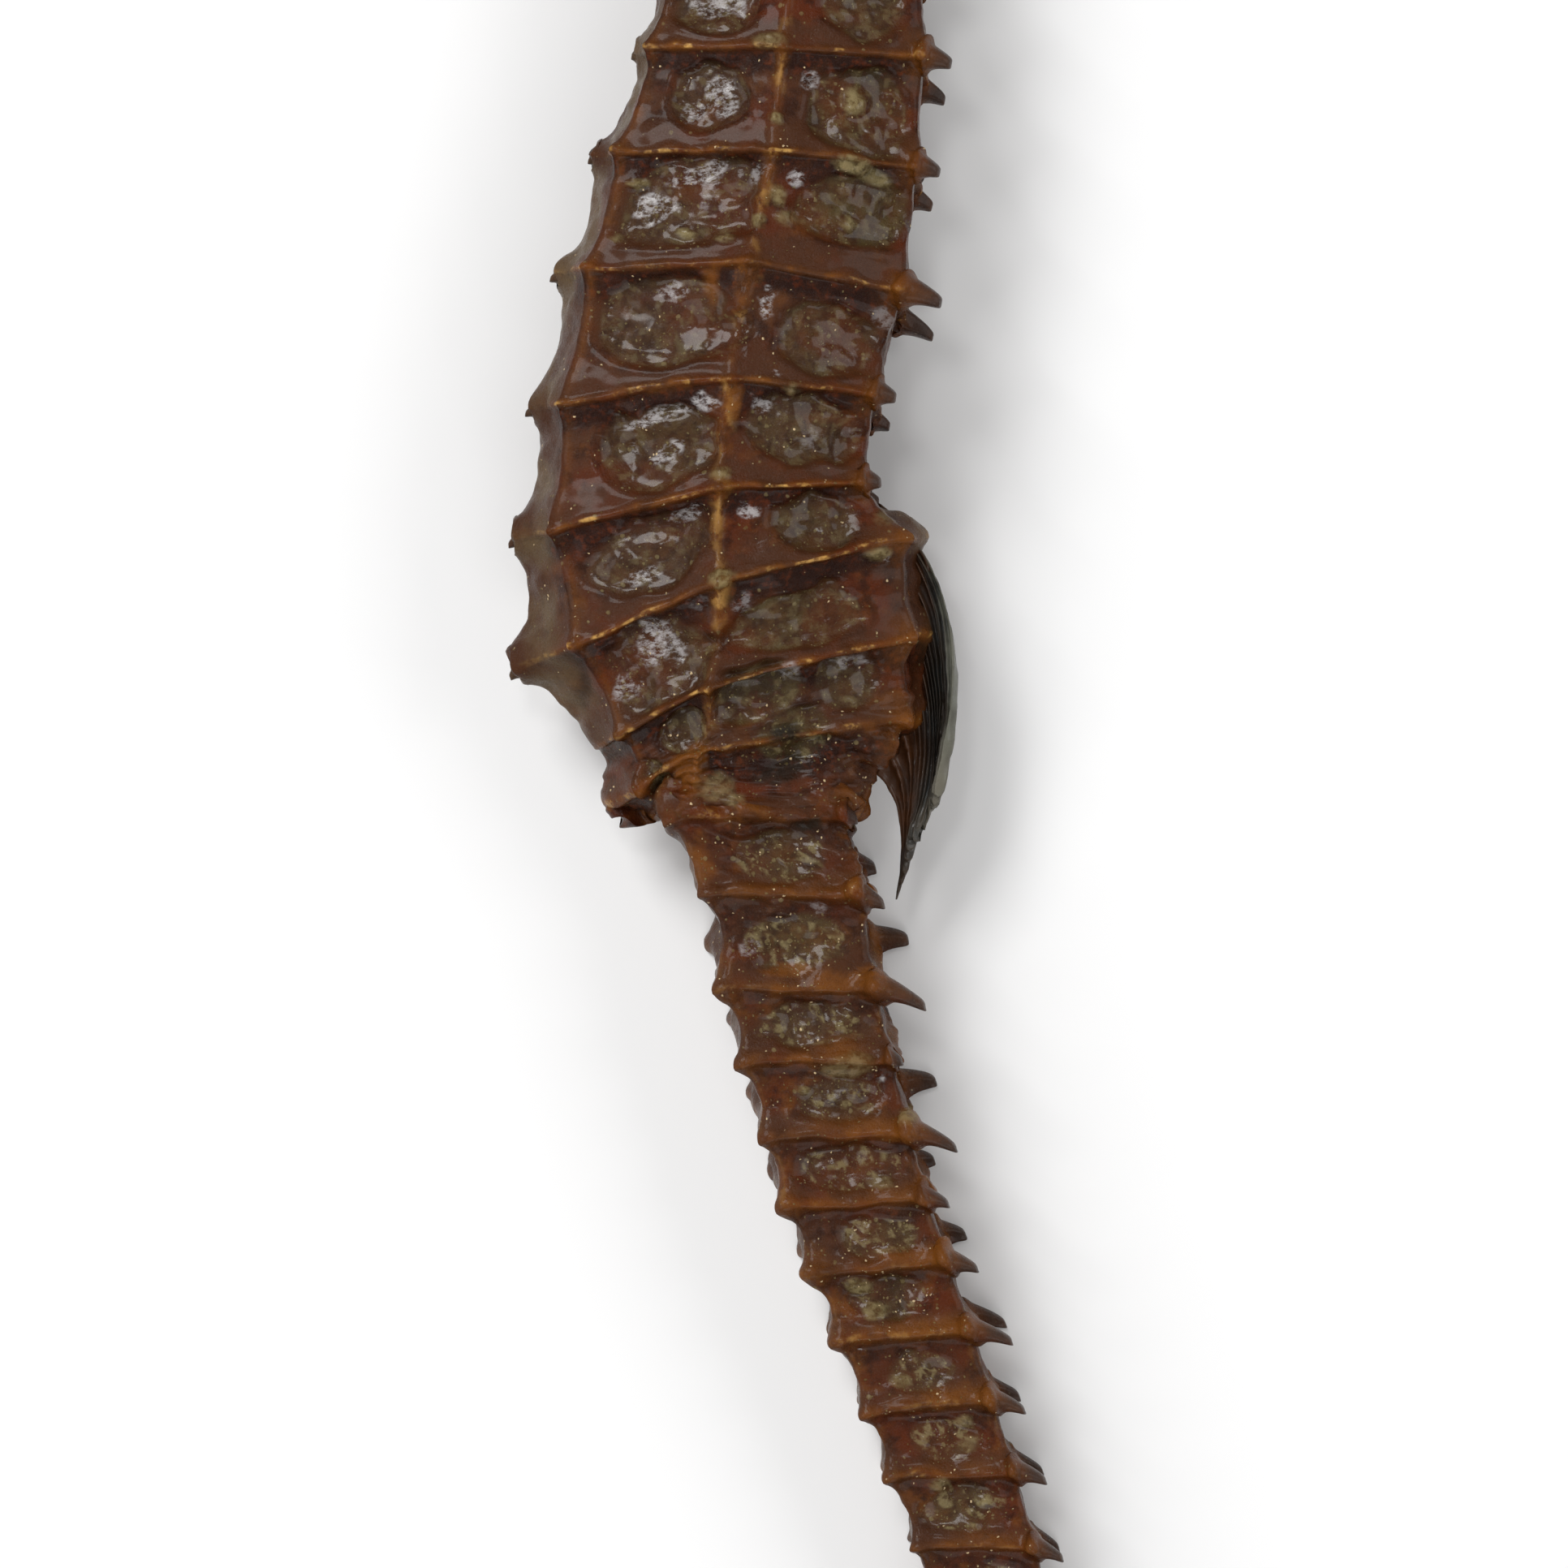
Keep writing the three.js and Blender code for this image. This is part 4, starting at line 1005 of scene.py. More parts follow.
class HeadSkin:
    """Snout, head and crown as one skin."""

    GIRTHS = tuple((i + 0.5) / 14 for i in range(14))
    ROUNDNESS = 0.88
    END = HEAD_ROWS[-1][0]
    # Height above the head's middle line and radius of each loop of the crown, after its mask.
    CROWN_LOOPS = (
        (0.15, 5.75, 1.5), (0.4, 6.6, 1.25), (0.65, 7.5, 1.3), (1.0, 8.15, 1.75),
        (0.8, 8.05, 1.35), (0.5, 7.4, 0.8), (0.3, 7.2, 0.3),
    )
    # Place, column, and the way of each spine: forwards, up and outwards; then its length.
    MIDDLE_SPINES = ((14.6, 13, 0.3, 1.0, 0.0, 1.1), (25.9, 13, 0.35, 0.9, 0.0, 0.9))
    SIDE_SPINES = (
        (17.6, 11, 0.1, 1.0, 0.35, 1.1), (19.9, 3, 0.0, -0.8, 0.55, 1.1), (22.3, 2, -0.1, -0.9, 0.4, 0.8),
        (24.6, 1, -0.2, -0.95, 0.25, 0.8), (21.2, 10, -0.2, 0.8, 0.6, 0.7),
    )

    def _loop(self, along: float, share: float = 1.0, shift: float = 0.0) -> list[Vector]:
        """Returns the loop at a distance from the snout's tip, shrunk to a share of its size."""
        top, bottom, half = eased(HEAD_ROWS, along)
        loop = []
        for girth, side in both_sides(self.GIRTHS):
            turn = math.pi * (girth - 0.5)
            high = math.copysign(abs(math.sin(turn)) ** self.ROUNDNESS, turn)
            up = (top + bottom) / 2 + (top - bottom) / 2 * high * share
            wide = side * half * abs(math.cos(turn)) ** self.ROUNDNESS
            loop.append(head_point(along + shift, up, wide * share))
        return loop

    def build(self) -> Piece:
        """Returns the finished skin."""
        places = [
            0.1, 0.4, 0.8, 1.3, 1.9, 2.6, 3.4, *[4.3 + i * 0.92 for i in range(9)],
            *[12.5 + i * 0.62 for i in range(25)],
        ]
        places[-1] = self.END
        mouth = ((0.34, 1.0), (0.42, 0.35), (0.62, 0.0), (0.86, -0.12))
        rear = ((0.95, 0.12), (0.84, 0.05), (0.6, -0.2))
        loops = [self._loop(places[0], share, shift) for share, shift in mouth]
        loops += [self._loop(place) for place in places]
        loops += [self._loop(self.END, share, shift) for share, shift in rear]
        stations = [places[0]] * len(mouth) + places + [self.END] * len(rear)
        cage = Cage("head_skin", loops, stations, [*self.GIRTHS, *self.GIRTHS[::-1]])
        self._raise_crown(cage)
        self._add_spines(cage, stations)
        skin = cage.finish()
        self._shape(skin)
        return skin

    def _add_spines(self, cage: Cage, stations: Sequence[float]) -> None:
        """Raises the spines on nose, brow, cheek and gill cover."""
        tilt = math.radians(HEAD_TILT)
        along, up = Vector((math.cos(tilt), math.sin(tilt), 0)), Vector((-math.sin(tilt), math.cos(tilt), 0))
        out = Vector((0, 0, 1))
        wanted = list(self.MIDDLE_SPINES)
        for side in (1, -1):
            for place, column, forward, rise, spread, length in self.SIDE_SPINES:
                wanted.append(
                    (place, column if side > 0 else 26 - column, forward, rise, spread * side, length)
                )
        spines = []
        for place, column, forward, rise, spread, length in wanted:
            loop = max(i for i, station in enumerate(stations[:-3]) if station <= place)
            way = (up * rise - along * forward + out * spread).normalized()
            spines.append(Spine(loop, column, way, along, 0.15, length, 0.3, 0))
        cage.raise_spines(spines)

    def _raise_crown(self, cage: Cage) -> None:
        """Pulls the crown out of the top of the head, as a cup on a short stalk."""
        activate(cage.obj)
        bpy.ops.object.mode_set(mode="EDIT")
        bpy.ops.mesh.select_mode(type="FACE")
        mesh = bmesh.from_edit_mesh(cage.obj.data)
        base = head_point(CROWN_ALONG, 0, 0) * MM
        tilt = math.radians(HEAD_TILT)
        up = Vector((-math.sin(tilt), math.cos(tilt), 0))
        along = Vector((math.cos(tilt), math.sin(tilt), 0))
        for face in mesh.faces:
            away = face.calc_center_median() - base
            face.select = (
                len(face.verts) == 4 and away.dot(up) > 4.2 * MM and abs(away.dot(along)) < 1.35 * MM
                and abs(away.z) < 1.9 * MM
            )
        bmesh.update_edit_mesh(cage.obj.data)
        for level, height, radius in self.CROWN_LOOPS:
            bpy.ops.mesh.extrude_region_move()
            mesh = bmesh.from_edit_mesh(cage.obj.data)
            crown = mesh.verts.layers.float["crown"]
            chosen = [vert for vert in mesh.verts if vert.select]
            reach = max((vert.co - base - up * (vert.co - base).dot(up)).length for vert in chosen)
            for vert in chosen:
                flat = vert.co - base - up * (vert.co - base).dot(up)
                share = flat.length / reach
                round_way = flat.normalized() if flat.length > 1e-7 else flat
                vert.co = base + up * height * MM + round_way * radius * MM * max(share, 0.02)
                vert[crown] = level
            bmesh.update_edit_mesh(cage.obj.data)
        bpy.ops.mesh.select_all(action="DESELECT")
        bpy.ops.object.mode_set(mode="OBJECT")

    def _shape(self, obj: Piece) -> None:
        """Shapes eye rims, brows, gill covers, nostrils, mouth and crown, and paints the masks, with painted
        shade in the grooves and hollows.
        """
        surface = Surface(obj)
        along, up, across = head_places(surface.points)
        tip, crown = surface.layer("tip"), surface.layer("crown")
        wobble = roughness_at(surface.points, 2.4, 2)
        grain = roughness_at(surface.points + 13, 0.6, 3)
        fine = roughness_at(surface.points + 5, 0.25, 2)
        wide = np.abs(across)
        body = (1 - smooth(tip, 0.05, 0.35)) * (1 - smooth(crown, 0.05, 0.2))
        eye = np.hypot(along - EYE[0], up - EYE[1])
        lateral = smooth(wide, 1.3, 2.0)
        rim = bell(eye - 2.4 - 0.1 * wobble, 0.36) * lateral
        socket = (1 - smooth(eye, 1.5, 2.15)) * lateral
        slant = (up + 1.5) + (along - 23.9) * 0.22
        cover = np.hypot((along - 23.8) / (3.6 + 0.28 * slant), slant / 3.35) * (1 + 0.05 * wobble)
        plate = (1 - smooth(cover, 0.8, 1.02)) * lateral
        groove = bell((cover - 1.05) * 3.5, 0.22) * lateral
        angle = np.arctan2(up - 0.9, along - 20.6)
        rays = np.cos(angle * 26 + wobble * 1.4) * plate * smooth(along, 20.9, 22.2)
        brow = (
            bell(wide - 1.75 + 0.2 * wobble, 0.36) * smooth(up, 2.0, 3.0) * smooth(along, 14.6, 16.2)
            * (1 - smooth(along, 22.0, 23.2))
        )
        nape = bell(across, 0.4) * smooth(up, 3.5, 4.5) * smooth(along, 24.8, 26.0)
        nose = (
            bell(across, 0.3) * smooth(up, 0.5, 1.2) * (1 - smooth(along, 15.2, 16.6))
            * smooth(along, 2.0, 4.0)
        )
        cheek_line = up - np.interp(along, [3, 12.5, 16.9, 21, 22], [-0.15, -0.35, -1.75, -1.9, -2.2])
        cheek = bell(cheek_line, 0.26) * lateral * smooth(along, 2.5, 5.0) * (1 - smooth(along, 19.6, 20.8))
        hollow = (
            bell(along - 19.9, 1.3) * bell(up - 2.4, 1.1) * lateral
            + bell(along - 17.6, 1.6) * bell(up + 2.7, 0.7) * lateral
        )
        nostril = (
            (bell(along - 14.2, 0.22) + bell(along - 14.95, 0.18)) * bell(up - 1.75, 0.2)
            * smooth(wide, 0.9, 1.3)
        )
        jaw = (
            bell(up + 0.62 - 0.03 * along, 0.13) * (1 - smooth(along, 11.0, 12.5)) * lateral.clip(0.3, 1)
            * smooth(along, 0.8, 1.6)
        )
        mouth = bell(up - 0.28 - 0.25 * along, 0.13) * (1 - smooth(along, 0.9, 1.5))
        height = (
            rim * 0.4 - socket * 0.95 + plate * 0.2 - groove * 0.2 + rays * 0.085 + brow * 0.3 + nape * 0.35
            + nose * 0.12
        )
        height += cheek * 0.16 - hollow * 0.28 - nostril * 0.34 - jaw * 0.08 - mouth * 0.26
        height += grain * 0.05 + fine * 0.02 + wobble * 0.08 * smooth(along, 10, 15)
        surface.move(height * body)
        star_turn = np.arctan2(across, along - CROWN_ALONG)
        star = np.cos(5 * star_turn + 0.3)
        level = smooth(crown, 0.5, 1.0)
        tilt = math.radians(HEAD_TILT)
        axis = np.array([-math.sin(tilt), math.cos(tilt), 0.0])
        origin = np.array(head_point(CROWN_ALONG, 0, 0))
        away = surface.points - origin
        outward = away - axis * (away @ axis)[:, None]
        points = np.maximum(star, 0) ** 1.4
        surface.points += (
            outward * (level * (0.34 * points - 0.16))[:, None]
            + axis * (level * (0.75 * points + 0.1 * grain))[:, None]
        )
        flute = smooth(crown, 0.08, 0.3) * (1 - smooth(crown, 0.6, 0.9))
        surface.points += outward * (flute * 0.1 * star)[:, None]
        surface.write()
        crest = np.maximum.reduce(
            [rim * 0.7, brow, nape, nose * 0.7, cheek, level * points, smooth(rays, 0.2, 1.0) * 0.6]
        )
        # Painted shade: gill groove, nostrils, jaw line, mouth and eye socket go into the band mask and are
        # painted dark, as the shade in these hollows.
        band = np.maximum.reduce([groove, nostril * 2, jaw, mouth * 1.5, socket])
        zero = np.zeros_like(up)
        surface.paint("plate", (crest * 0.85, band, np.maximum(hollow * 0.7, zero), np.maximum(brow, nape)))
        darker = smooth(up, 0.5, -3.0) * plate
        surface.paint("place", (zero, darker, np.maximum(tip, level * points * 0.6), 0.5 + 0.4 * wobble))
        surface.paint("bloom", (zero, 0.35 + zero, 0.5 + 0.5 * rays))
        surface.paint("mark", ())


class Eye:
    """One dried eye: a shallow bulb with a sunken pupil."""

    def __init__(self, side: int) -> None:
        """Keeps the side: 1 for the left eye and -1 for the right."""
        self.side = side

    def build(self) -> Piece:
        """Returns the finished eye."""
        name = "eye_ball_left" if self.side > 0 else "eye_ball_right"
        along, up, across = EYE
        centre = head_point(along, up, across * self.side)
        bpy.ops.object.select_all(action="DESELECT")
        bpy.ops.mesh.primitive_uv_sphere_add(segments=48, ring_count=28, radius=MM, location=centre * MM)
        obj = bpy.context.object
        obj.name = obj.data.name = name
        obj.scale = EYE_SIZE
        bpy.ops.object.transform_apply(location=True, rotation=True, scale=True)
        shade_smooth(obj)
        surface = Surface(obj)
        away = surface.points - np.array(centre)
        reach = np.hypot(away[:, 0], away[:, 1])
        grain = roughness_at(surface.points, 0.7, 3)
        outer = smooth(away[:, 2] * self.side, 0.1, 0.5)
        heights = -0.16 * (1 - smooth(reach, 0.55, 0.85)) + 0.07 * bell(reach - 0.95, 0.16) + 0.06 * grain
        heights += 0.03 * np.sin(8 * np.arctan2(away[:, 1], away[:, 0]) + 5 * grain) * smooth(reach, 0.9, 1.4)
        surface.move(heights * outer)
        surface.write()
        ring = bell(reach - 0.95, 0.22) * outer
        pupil = (1 - smooth(reach, 0.6, 0.8)) * outer
        surface.paint("eye", (pupil, ring, smooth(reach, 1.2, 1.9), 0.5 + grain))
        return obj


class FinKind(Enum):
    """The fins, each with its rays, its piece name and the node that it stands for."""

    BACK = (17, "back_fin_sheet", "back_fin")
    LEFT = (13, "side_fin_sheet_left", "side_fin_left")
    RIGHT = (13, "side_fin_sheet_right", "side_fin_right")
    VENT = (4, "vent_fin_sheet", "vent_fin")


class Fin:
    """A fan of stiff rays with dried membrane between them."""

    ROWS = 26
    COLUMNS_TO_A_RAY = 6
    THICKNESS = {FinKind.BACK: 0.42, FinKind.VENT: 0.95, FinKind.LEFT: 0.3, FinKind.RIGHT: 0.3}
    # The folded back fin: its first and last station, how its first and last ray bow, and its outer rim.
    BACK_ROOT = (11.3, 14.55)
    BACK_BOWS = (Vector((7.9, 7.4, 0)), Vector((5.1, -0.9, 0)))
    BACK_RIM = ((5.85, -0.75), (5.6, -1.5), (5.15, -2.2), (4.72, -3.1), (4.3, -4.45))
    # The side fins: the way they point and how far they fan out, in degrees, and their length.
    SIDE_AIM, SIDE_FAN, SIDE_LENGTH = -38, 62, 4.6
    VENT_ROOT = (Vector((-6.65, -0.4, 3.3)), Vector((-5.3, -0.8, 3.3)))
    VENT_RIM = (Vector((-6.35, -1.36, 3.3)), Vector((-5.15, -1.62, 3.3)))

    def __init__(self, kind: FinKind, line: BodyLine) -> None:
        """Keeps the kind of fin and the run of sections."""
        self.kind = kind
        self.line = line
        self.rays, self.name, self.node = kind.value

    def _back(self, t: float, s: float) -> Vector:
        """Returns a point of the back fin's sheet."""
        station = lerp(*self.BACK_ROOT, t)
        root = self.line.at(station, 1.0, 1, Layout.TRUNK)
        centre = self.line.at(station, 0.5, 1, Layout.TRUNK)
        reach = math.hypot(root.x - centre.x, root.y - centre.y)
        lift = 0.3 / reach
        start = Vector((root.x + (root.x - centre.x) * lift, root.y + (root.y - centre.y) * lift, 0))
        part = t * (len(self.BACK_RIM) - 1)
        low = min(len(self.BACK_RIM) - 2, int(part))
        tip = Vector((*self.BACK_RIM[low], 0)).lerp(Vector((*self.BACK_RIM[low + 1], 0)), part - low) - SHIFT
        bow = self.BACK_BOWS[0].lerp(self.BACK_BOWS[1], t) - SHIFT
        point = start * (1 - s) ** 2 + bow * 2 * s * (1 - s) + tip * s * s
        wave = 0.22 * math.sin(9 * t + 2.5 * s) * s
        return Vector((point.x, point.y, root.z + wave))

    def _side(self, t: float, s: float) -> Vector:
        """Returns a point of a side fin's sheet."""
        side = 1 if self.kind is FinKind.LEFT else -1
        foot = head_point(28.6, -1.2, 0)
        aim = math.radians(self.SIDE_AIM)
        turn = math.radians(self.SIDE_AIM + self.SIDE_FAN * (0.5 - t))
        reach = self.SIDE_LENGTH * s * (1 - 0.35 * (2 * t - 1) ** 2)
        across = 2.2 * (0.5 - t)
        flare = 0.22 if side > 0 else 0.0
        ripple = 0.1 * math.sin(15 * t) * s * (1 if side > 0 else 0.3)
        return Vector((
            foot.x - math.sin(aim) * across + math.cos(turn) * reach,
            foot.y + math.cos(aim) * across + math.sin(turn) * reach,
            HEAD_PLANE + side * (4.07 + flare * reach) + ripple,
        ))

    def _vent(self, t: float, s: float) -> Vector:
        """Returns a point of the small fin behind the vent."""
        start = self.VENT_ROOT[0].lerp(self.VENT_ROOT[1], t)
        end = self.VENT_RIM[0].lerp(self.VENT_RIM[1], t)
        bulge = 0.2 * math.sin(math.pi * t) * s
        point = start.lerp(end, s) - SHIFT
        taper = 1 - 0.45 * s * s * (2 * t - 1) ** 2
        return Vector(
            (point.x - bulge, point.y - bulge + (1 - taper) * 1.2, point.z + 0.25 * math.sin(5 * t) * s)
        )

    def build(self) -> Piece:
        """Returns the finished fin."""
        place = {FinKind.BACK: self._back, FinKind.VENT: self._vent}.get(self.kind, self._side)
        columns = (self.rays - 1) * self.COLUMNS_TO_A_RAY
        bpy.ops.object.select_all(action="DESELECT")
        bpy.ops.mesh.primitive_grid_add(x_subdivisions=columns, y_subdivisions=self.ROWS, size=MM)
        obj = bpy.context.object
        obj.name = obj.data.name = self.name
        mesh = obj.data
        count = len(mesh.vertices)
        flat = np.empty(count * 3, dtype=np.float32)
        mesh.vertices.foreach_get("co", flat)
        flat = flat.reshape(-1, 3) / MM + 0.5
        t, s = flat[:, 0], flat[:, 1]
        points = np.array([place(float(a), float(b)) for a, b in zip(t, s)])
        mesh.vertices.foreach_set("co", (points * MM).astype(np.float32).ravel())
        across = 0.6 + 0.4 * t if self.kind is FinKind.VENT else t
        for name, values in (("across", across), ("outward", s)):
            mesh.attributes.new(name, "FLOAT", "POINT").data.foreach_set("value", values.astype(np.float32))
        mesh.update()
        add_modifier(obj, "SOLIDIFY", thickness=self.THICKNESS[self.kind] * MM, offset=0.0)
        add_modifier(obj, "SUBSURF", levels=1, render_levels=1)
        bpy.ops.object.mode_set(mode="EDIT")
        bpy.ops.mesh.select_all(action="SELECT")
        bpy.ops.mesh.normals_make_consistent(inside=False)
        bpy.ops.object.mode_set(mode="OBJECT")
        shade_smooth(obj)
        surface = Surface(obj)
        t, s = surface.layer("across"), surface.layer("outward")
        phase = t * (self.rays - 1)
        ray = bell(phase - np.round(phase), 0.2)
        joints = 0.5 + 0.5 * np.cos(s * 60)
        grain = roughness_at(surface.points, 0.5, 3)
        facing = np.abs(surface.normals[:, 2])
        fade = 1 - 0.6 * s**2
        wrinkle = roughness_at(surface.points + 3, 1.1, 3)
        heights = (
            (ray * (0.17 + 0.02 * joints) * fade - (1 - ray) * 0.06 + grain * 0.03) * facing + wrinkle * 0.08
        )
        surface.move(heights * (0.4 if self.kind is FinKind.VENT else 1.0))
        if self.kind is FinKind.BACK:
            ragged = (0.35 + 0.65 * np.abs(np.sin(t * 21 + 1.3 * wrinkle))) * smooth(s, 0.72, 1.0)
            surface.points[:, 1] += ragged * (1 - smooth(t, 0.7, 0.85)) * 0.55
            middle = np.array([place(float(a), float(b)) for a, b in zip(t, s)])
            thin = 1 - 0.72 * smooth(s, 0.55, 1.0) * smooth(t, 0.6, 0.95)
            surface.points = middle + (surface.points - middle) * thin[:, None]
        surface.write()
        if self.kind is FinKind.VENT:
            zero = np.zeros_like(s)
            surface.paint("plate", (zero, 0.5 + 0.5 * wrinkle))
            surface.paint("place", ())
            surface.paint("bloom", (zero, 0.6 + zero, 0.5 + 0.5 * grain))
            surface.paint("mark", (zero, smooth(wrinkle, 0.1, 0.5) * 0.7))
        surface.paint("fin", (ray, s, joints * ray, 0.5 + 0.5 * grain))
        return obj


class Graph:
    """The nodes of a material or a group, added and joined in short calls."""

    def __init__(self, tree: bpy.types.NodeTree) -> None:
        """Keeps the tree that nodes are added to."""
        self.tree = tree

    def put(self, socket: Socket, value: object) -> None:
        """Joins a socket to another, or sets its value."""
        if isinstance(value, Socket):
            self.tree.links.new(value, socket)
        else:
            socket.default_value = value

    def node(
        self, kind: str, inputs: dict[object, object] | None = None, **settings: object,
    ) -> bpy.types.Node:
        """Returns a new node.

        Args:
            kind: The node's type, without its first word.
            inputs: Values or sockets for its inputs, by name or number.
            settings: Its other settings.
        """
        node = self.tree.nodes.new("ShaderNode" + kind)
        for key, value in settings.items():
            setattr(node, key, value)
        for key, value in (inputs or {}).items():
            self.put(node.inputs[key], value)
        return node

    def math(self, operation: str, first: object, second: object = 0.0) -> Socket:
        """Returns the result of an operation, kept between 0 and 1."""
        return self.node("Math", {0: first, 1: second}, operation=operation, use_clamp=True).outputs[0]

    def times(self, *factors: object) -> Socket:
        """Returns the product of the factors."""
        result = factors[0]
        for factor in factors[1:]:
            result = self.math("MULTIPLY", result, factor)
        return result

    def mix(self, share: object, first: object, second: object) -> Socket:
        """Returns a colour between two."""
        return self.node("Mix", {0: share, 6: first, 7: second}, data_type="RGBA").outputs[2]

    def over(self, colour: object, paint: object, *shares: object) -> Socket:
        """Returns a colour with a paint laid over it, as thickly as the product of the shares."""
        return self.mix(self.times(*shares), colour, paint)

    def finish(self, shader: bpy.types.Node) -> None:
        """Joins a shader to the material's output."""
        self.put(self.node("OutputMaterial").inputs[0], shader.outputs[0])

    def span(self, value: object, low: float, high: float, start: float = 0.0, end: float = 1.0) -> Socket:
        """Returns a value eased from start at low to end at high."""
        inputs = {"Value": value, "From Min": low, "From Max": high, "To Min": start, "To Max": end}
        return self.node("MapRange", inputs, interpolation_type="SMOOTHSTEP").outputs[0]

    def lumps(self, vector: object, size: float, detail: float = 2.0, rough: float = 0.5) -> Socket:
        """Returns even noise with lumps of a size in millimetres."""
        inputs = {"Vector": vector, "Scale": 1 / (size * MM), "Detail": detail, "Roughness": rough}
        return self.node("TexNoise", inputs).outputs["Fac"]

    def group(self, tree: bpy.types.NodeTree, inputs: dict[str, object]) -> bpy.types.Node:
        """Returns a node that holds a group, with its inputs set."""
        node = self.tree.nodes.new("ShaderNodeGroup")
        node.node_tree = tree
        for key, value in inputs.items():
            self.put(node.inputs[key], value)
        return node

    def masks(self, name: str) -> list[Socket]:
        """Returns the four channels of a colour layer."""
        layer = self.node("Attribute", attribute_name=name)
        parts = self.node("SeparateColor", {0: layer.outputs["Color"]})
        return [*parts.outputs, layer.outputs["Alpha"]]


def new_material(name: str) -> tuple[bpy.types.Material, Graph]:
    """Returns an empty material and the graph of its nodes."""
    material = bpy.data.materials.new(name)
    material.use_nodes = True
    material.node_tree.nodes.clear()
    return material, Graph(material.node_tree)


class Effects:
    """Effects that several finishes share, each a group that is built once."""

    def __init__(self) -> None:
        """Builds the groups."""
        self.grain = self._grain()
        self.specks = self._specks()

    @staticmethod
    def _new(name: str, inputs: dict[str, str], outputs: Sequence[str]) -> tuple[
        bpy.types.NodeTree, Graph, bpy.types.Node, bpy.types.Node,
    ]:
        """Returns an empty group with its sockets, its graph and its two end nodes."""
        tree = bpy.data.node_groups.new(name, "ShaderNodeTree")
        for key, kind in inputs.items():
            tree.interface.new_socket(name=key, in_out="INPUT", socket_type=kind)
        for key in outputs:
            tree.interface.new_socket(name=key, in_out="OUTPUT", socket_type="NodeSocketFloat")
        return tree, Graph(tree), tree.nodes.new("NodeGroupInput"), tree.nodes.new("NodeGroupOutput")

    def _grain(self) -> bpy.types.NodeTree:
        """Returns a fine uneven grain, as tone and as height."""
        tree, graph, start, end = self._new(
            "dried grain", {"Vector": "NodeSocketVector", "Scale": "NodeSocketFloat"}, ("Tone", "Height"),
        )
        broad = graph.node(
            "TexNoise",
            {"Vector": start.outputs[0], "Scale": start.outputs[1], "Detail": 4.0, "Roughness": 0.62},
        )
        finer = graph.node("Math", {0: start.outputs[1], 1: 4.3}, operation="MULTIPLY")
        fine = graph.node(
            "TexNoise",
            {"Vector": start.outputs[0], "Scale": finer.outputs[0], "Detail": 3.0, "Roughness": 0.7},
        )
        graph.put(end.inputs["Tone"], broad.outputs["Fac"])
        height = graph.node(
            "Mix", {0: 0.42, 2: broad.outputs["Fac"], 3: fine.outputs["Fac"]}, data_type="FLOAT",
        )
        graph.put(end.inputs["Height"], height.outputs[0])
        return tree

    def _specks(self) -> bpy.types.NodeTree:
        """Returns scattered specks: grains of dust or salt, or painted glints."""
        tree, graph, start, end = self._new(
            "specks", {"Vector": "NodeSocketVector", "Scale": "NodeSocketFloat", "Amount": "NodeSocketFloat"},
            ("Mask",),
        )
        bent = graph.node("TexNoise", {"Vector": start.outputs[0], "Scale": start.outputs[1], "Detail": 1.0})
        moved = graph.node("VectorMath", {0: start.outputs[0], 1: bent.outputs["Color"]}, operation="ADD")
        scaled = graph.node("VectorMath", {0: bent.outputs["Color"], 3: 0.00012}, operation="SCALE")
        graph.put(moved.inputs[1], scaled.outputs[0])
        cells = graph.node("TexVoronoi", {"Vector": moved.outputs[0], "Scale": start.outputs[1]})
        parts = graph.node("SeparateColor", {0: cells.outputs["Color"]})
        chosen = graph.node("Math", {0: parts.outputs[0], 1: start.outputs[2]}, operation="LESS_THAN")
        size = graph.node("MapRange", {"Value": parts.outputs[1], "To Min": 0.14, "To Max": 0.46})
        inside = graph.node("Math", {0: size.outputs[0], 1: cells.outputs["Distance"]}, operation="SUBTRACT")
        edge = graph.node("MapRange", {"Value": inside.outputs[0], "From Min": 0.0, "From Max": 0.12})
        graph.put(end.inputs[0], graph.times(chosen.outputs[0], edge.outputs[0]))
        return tree


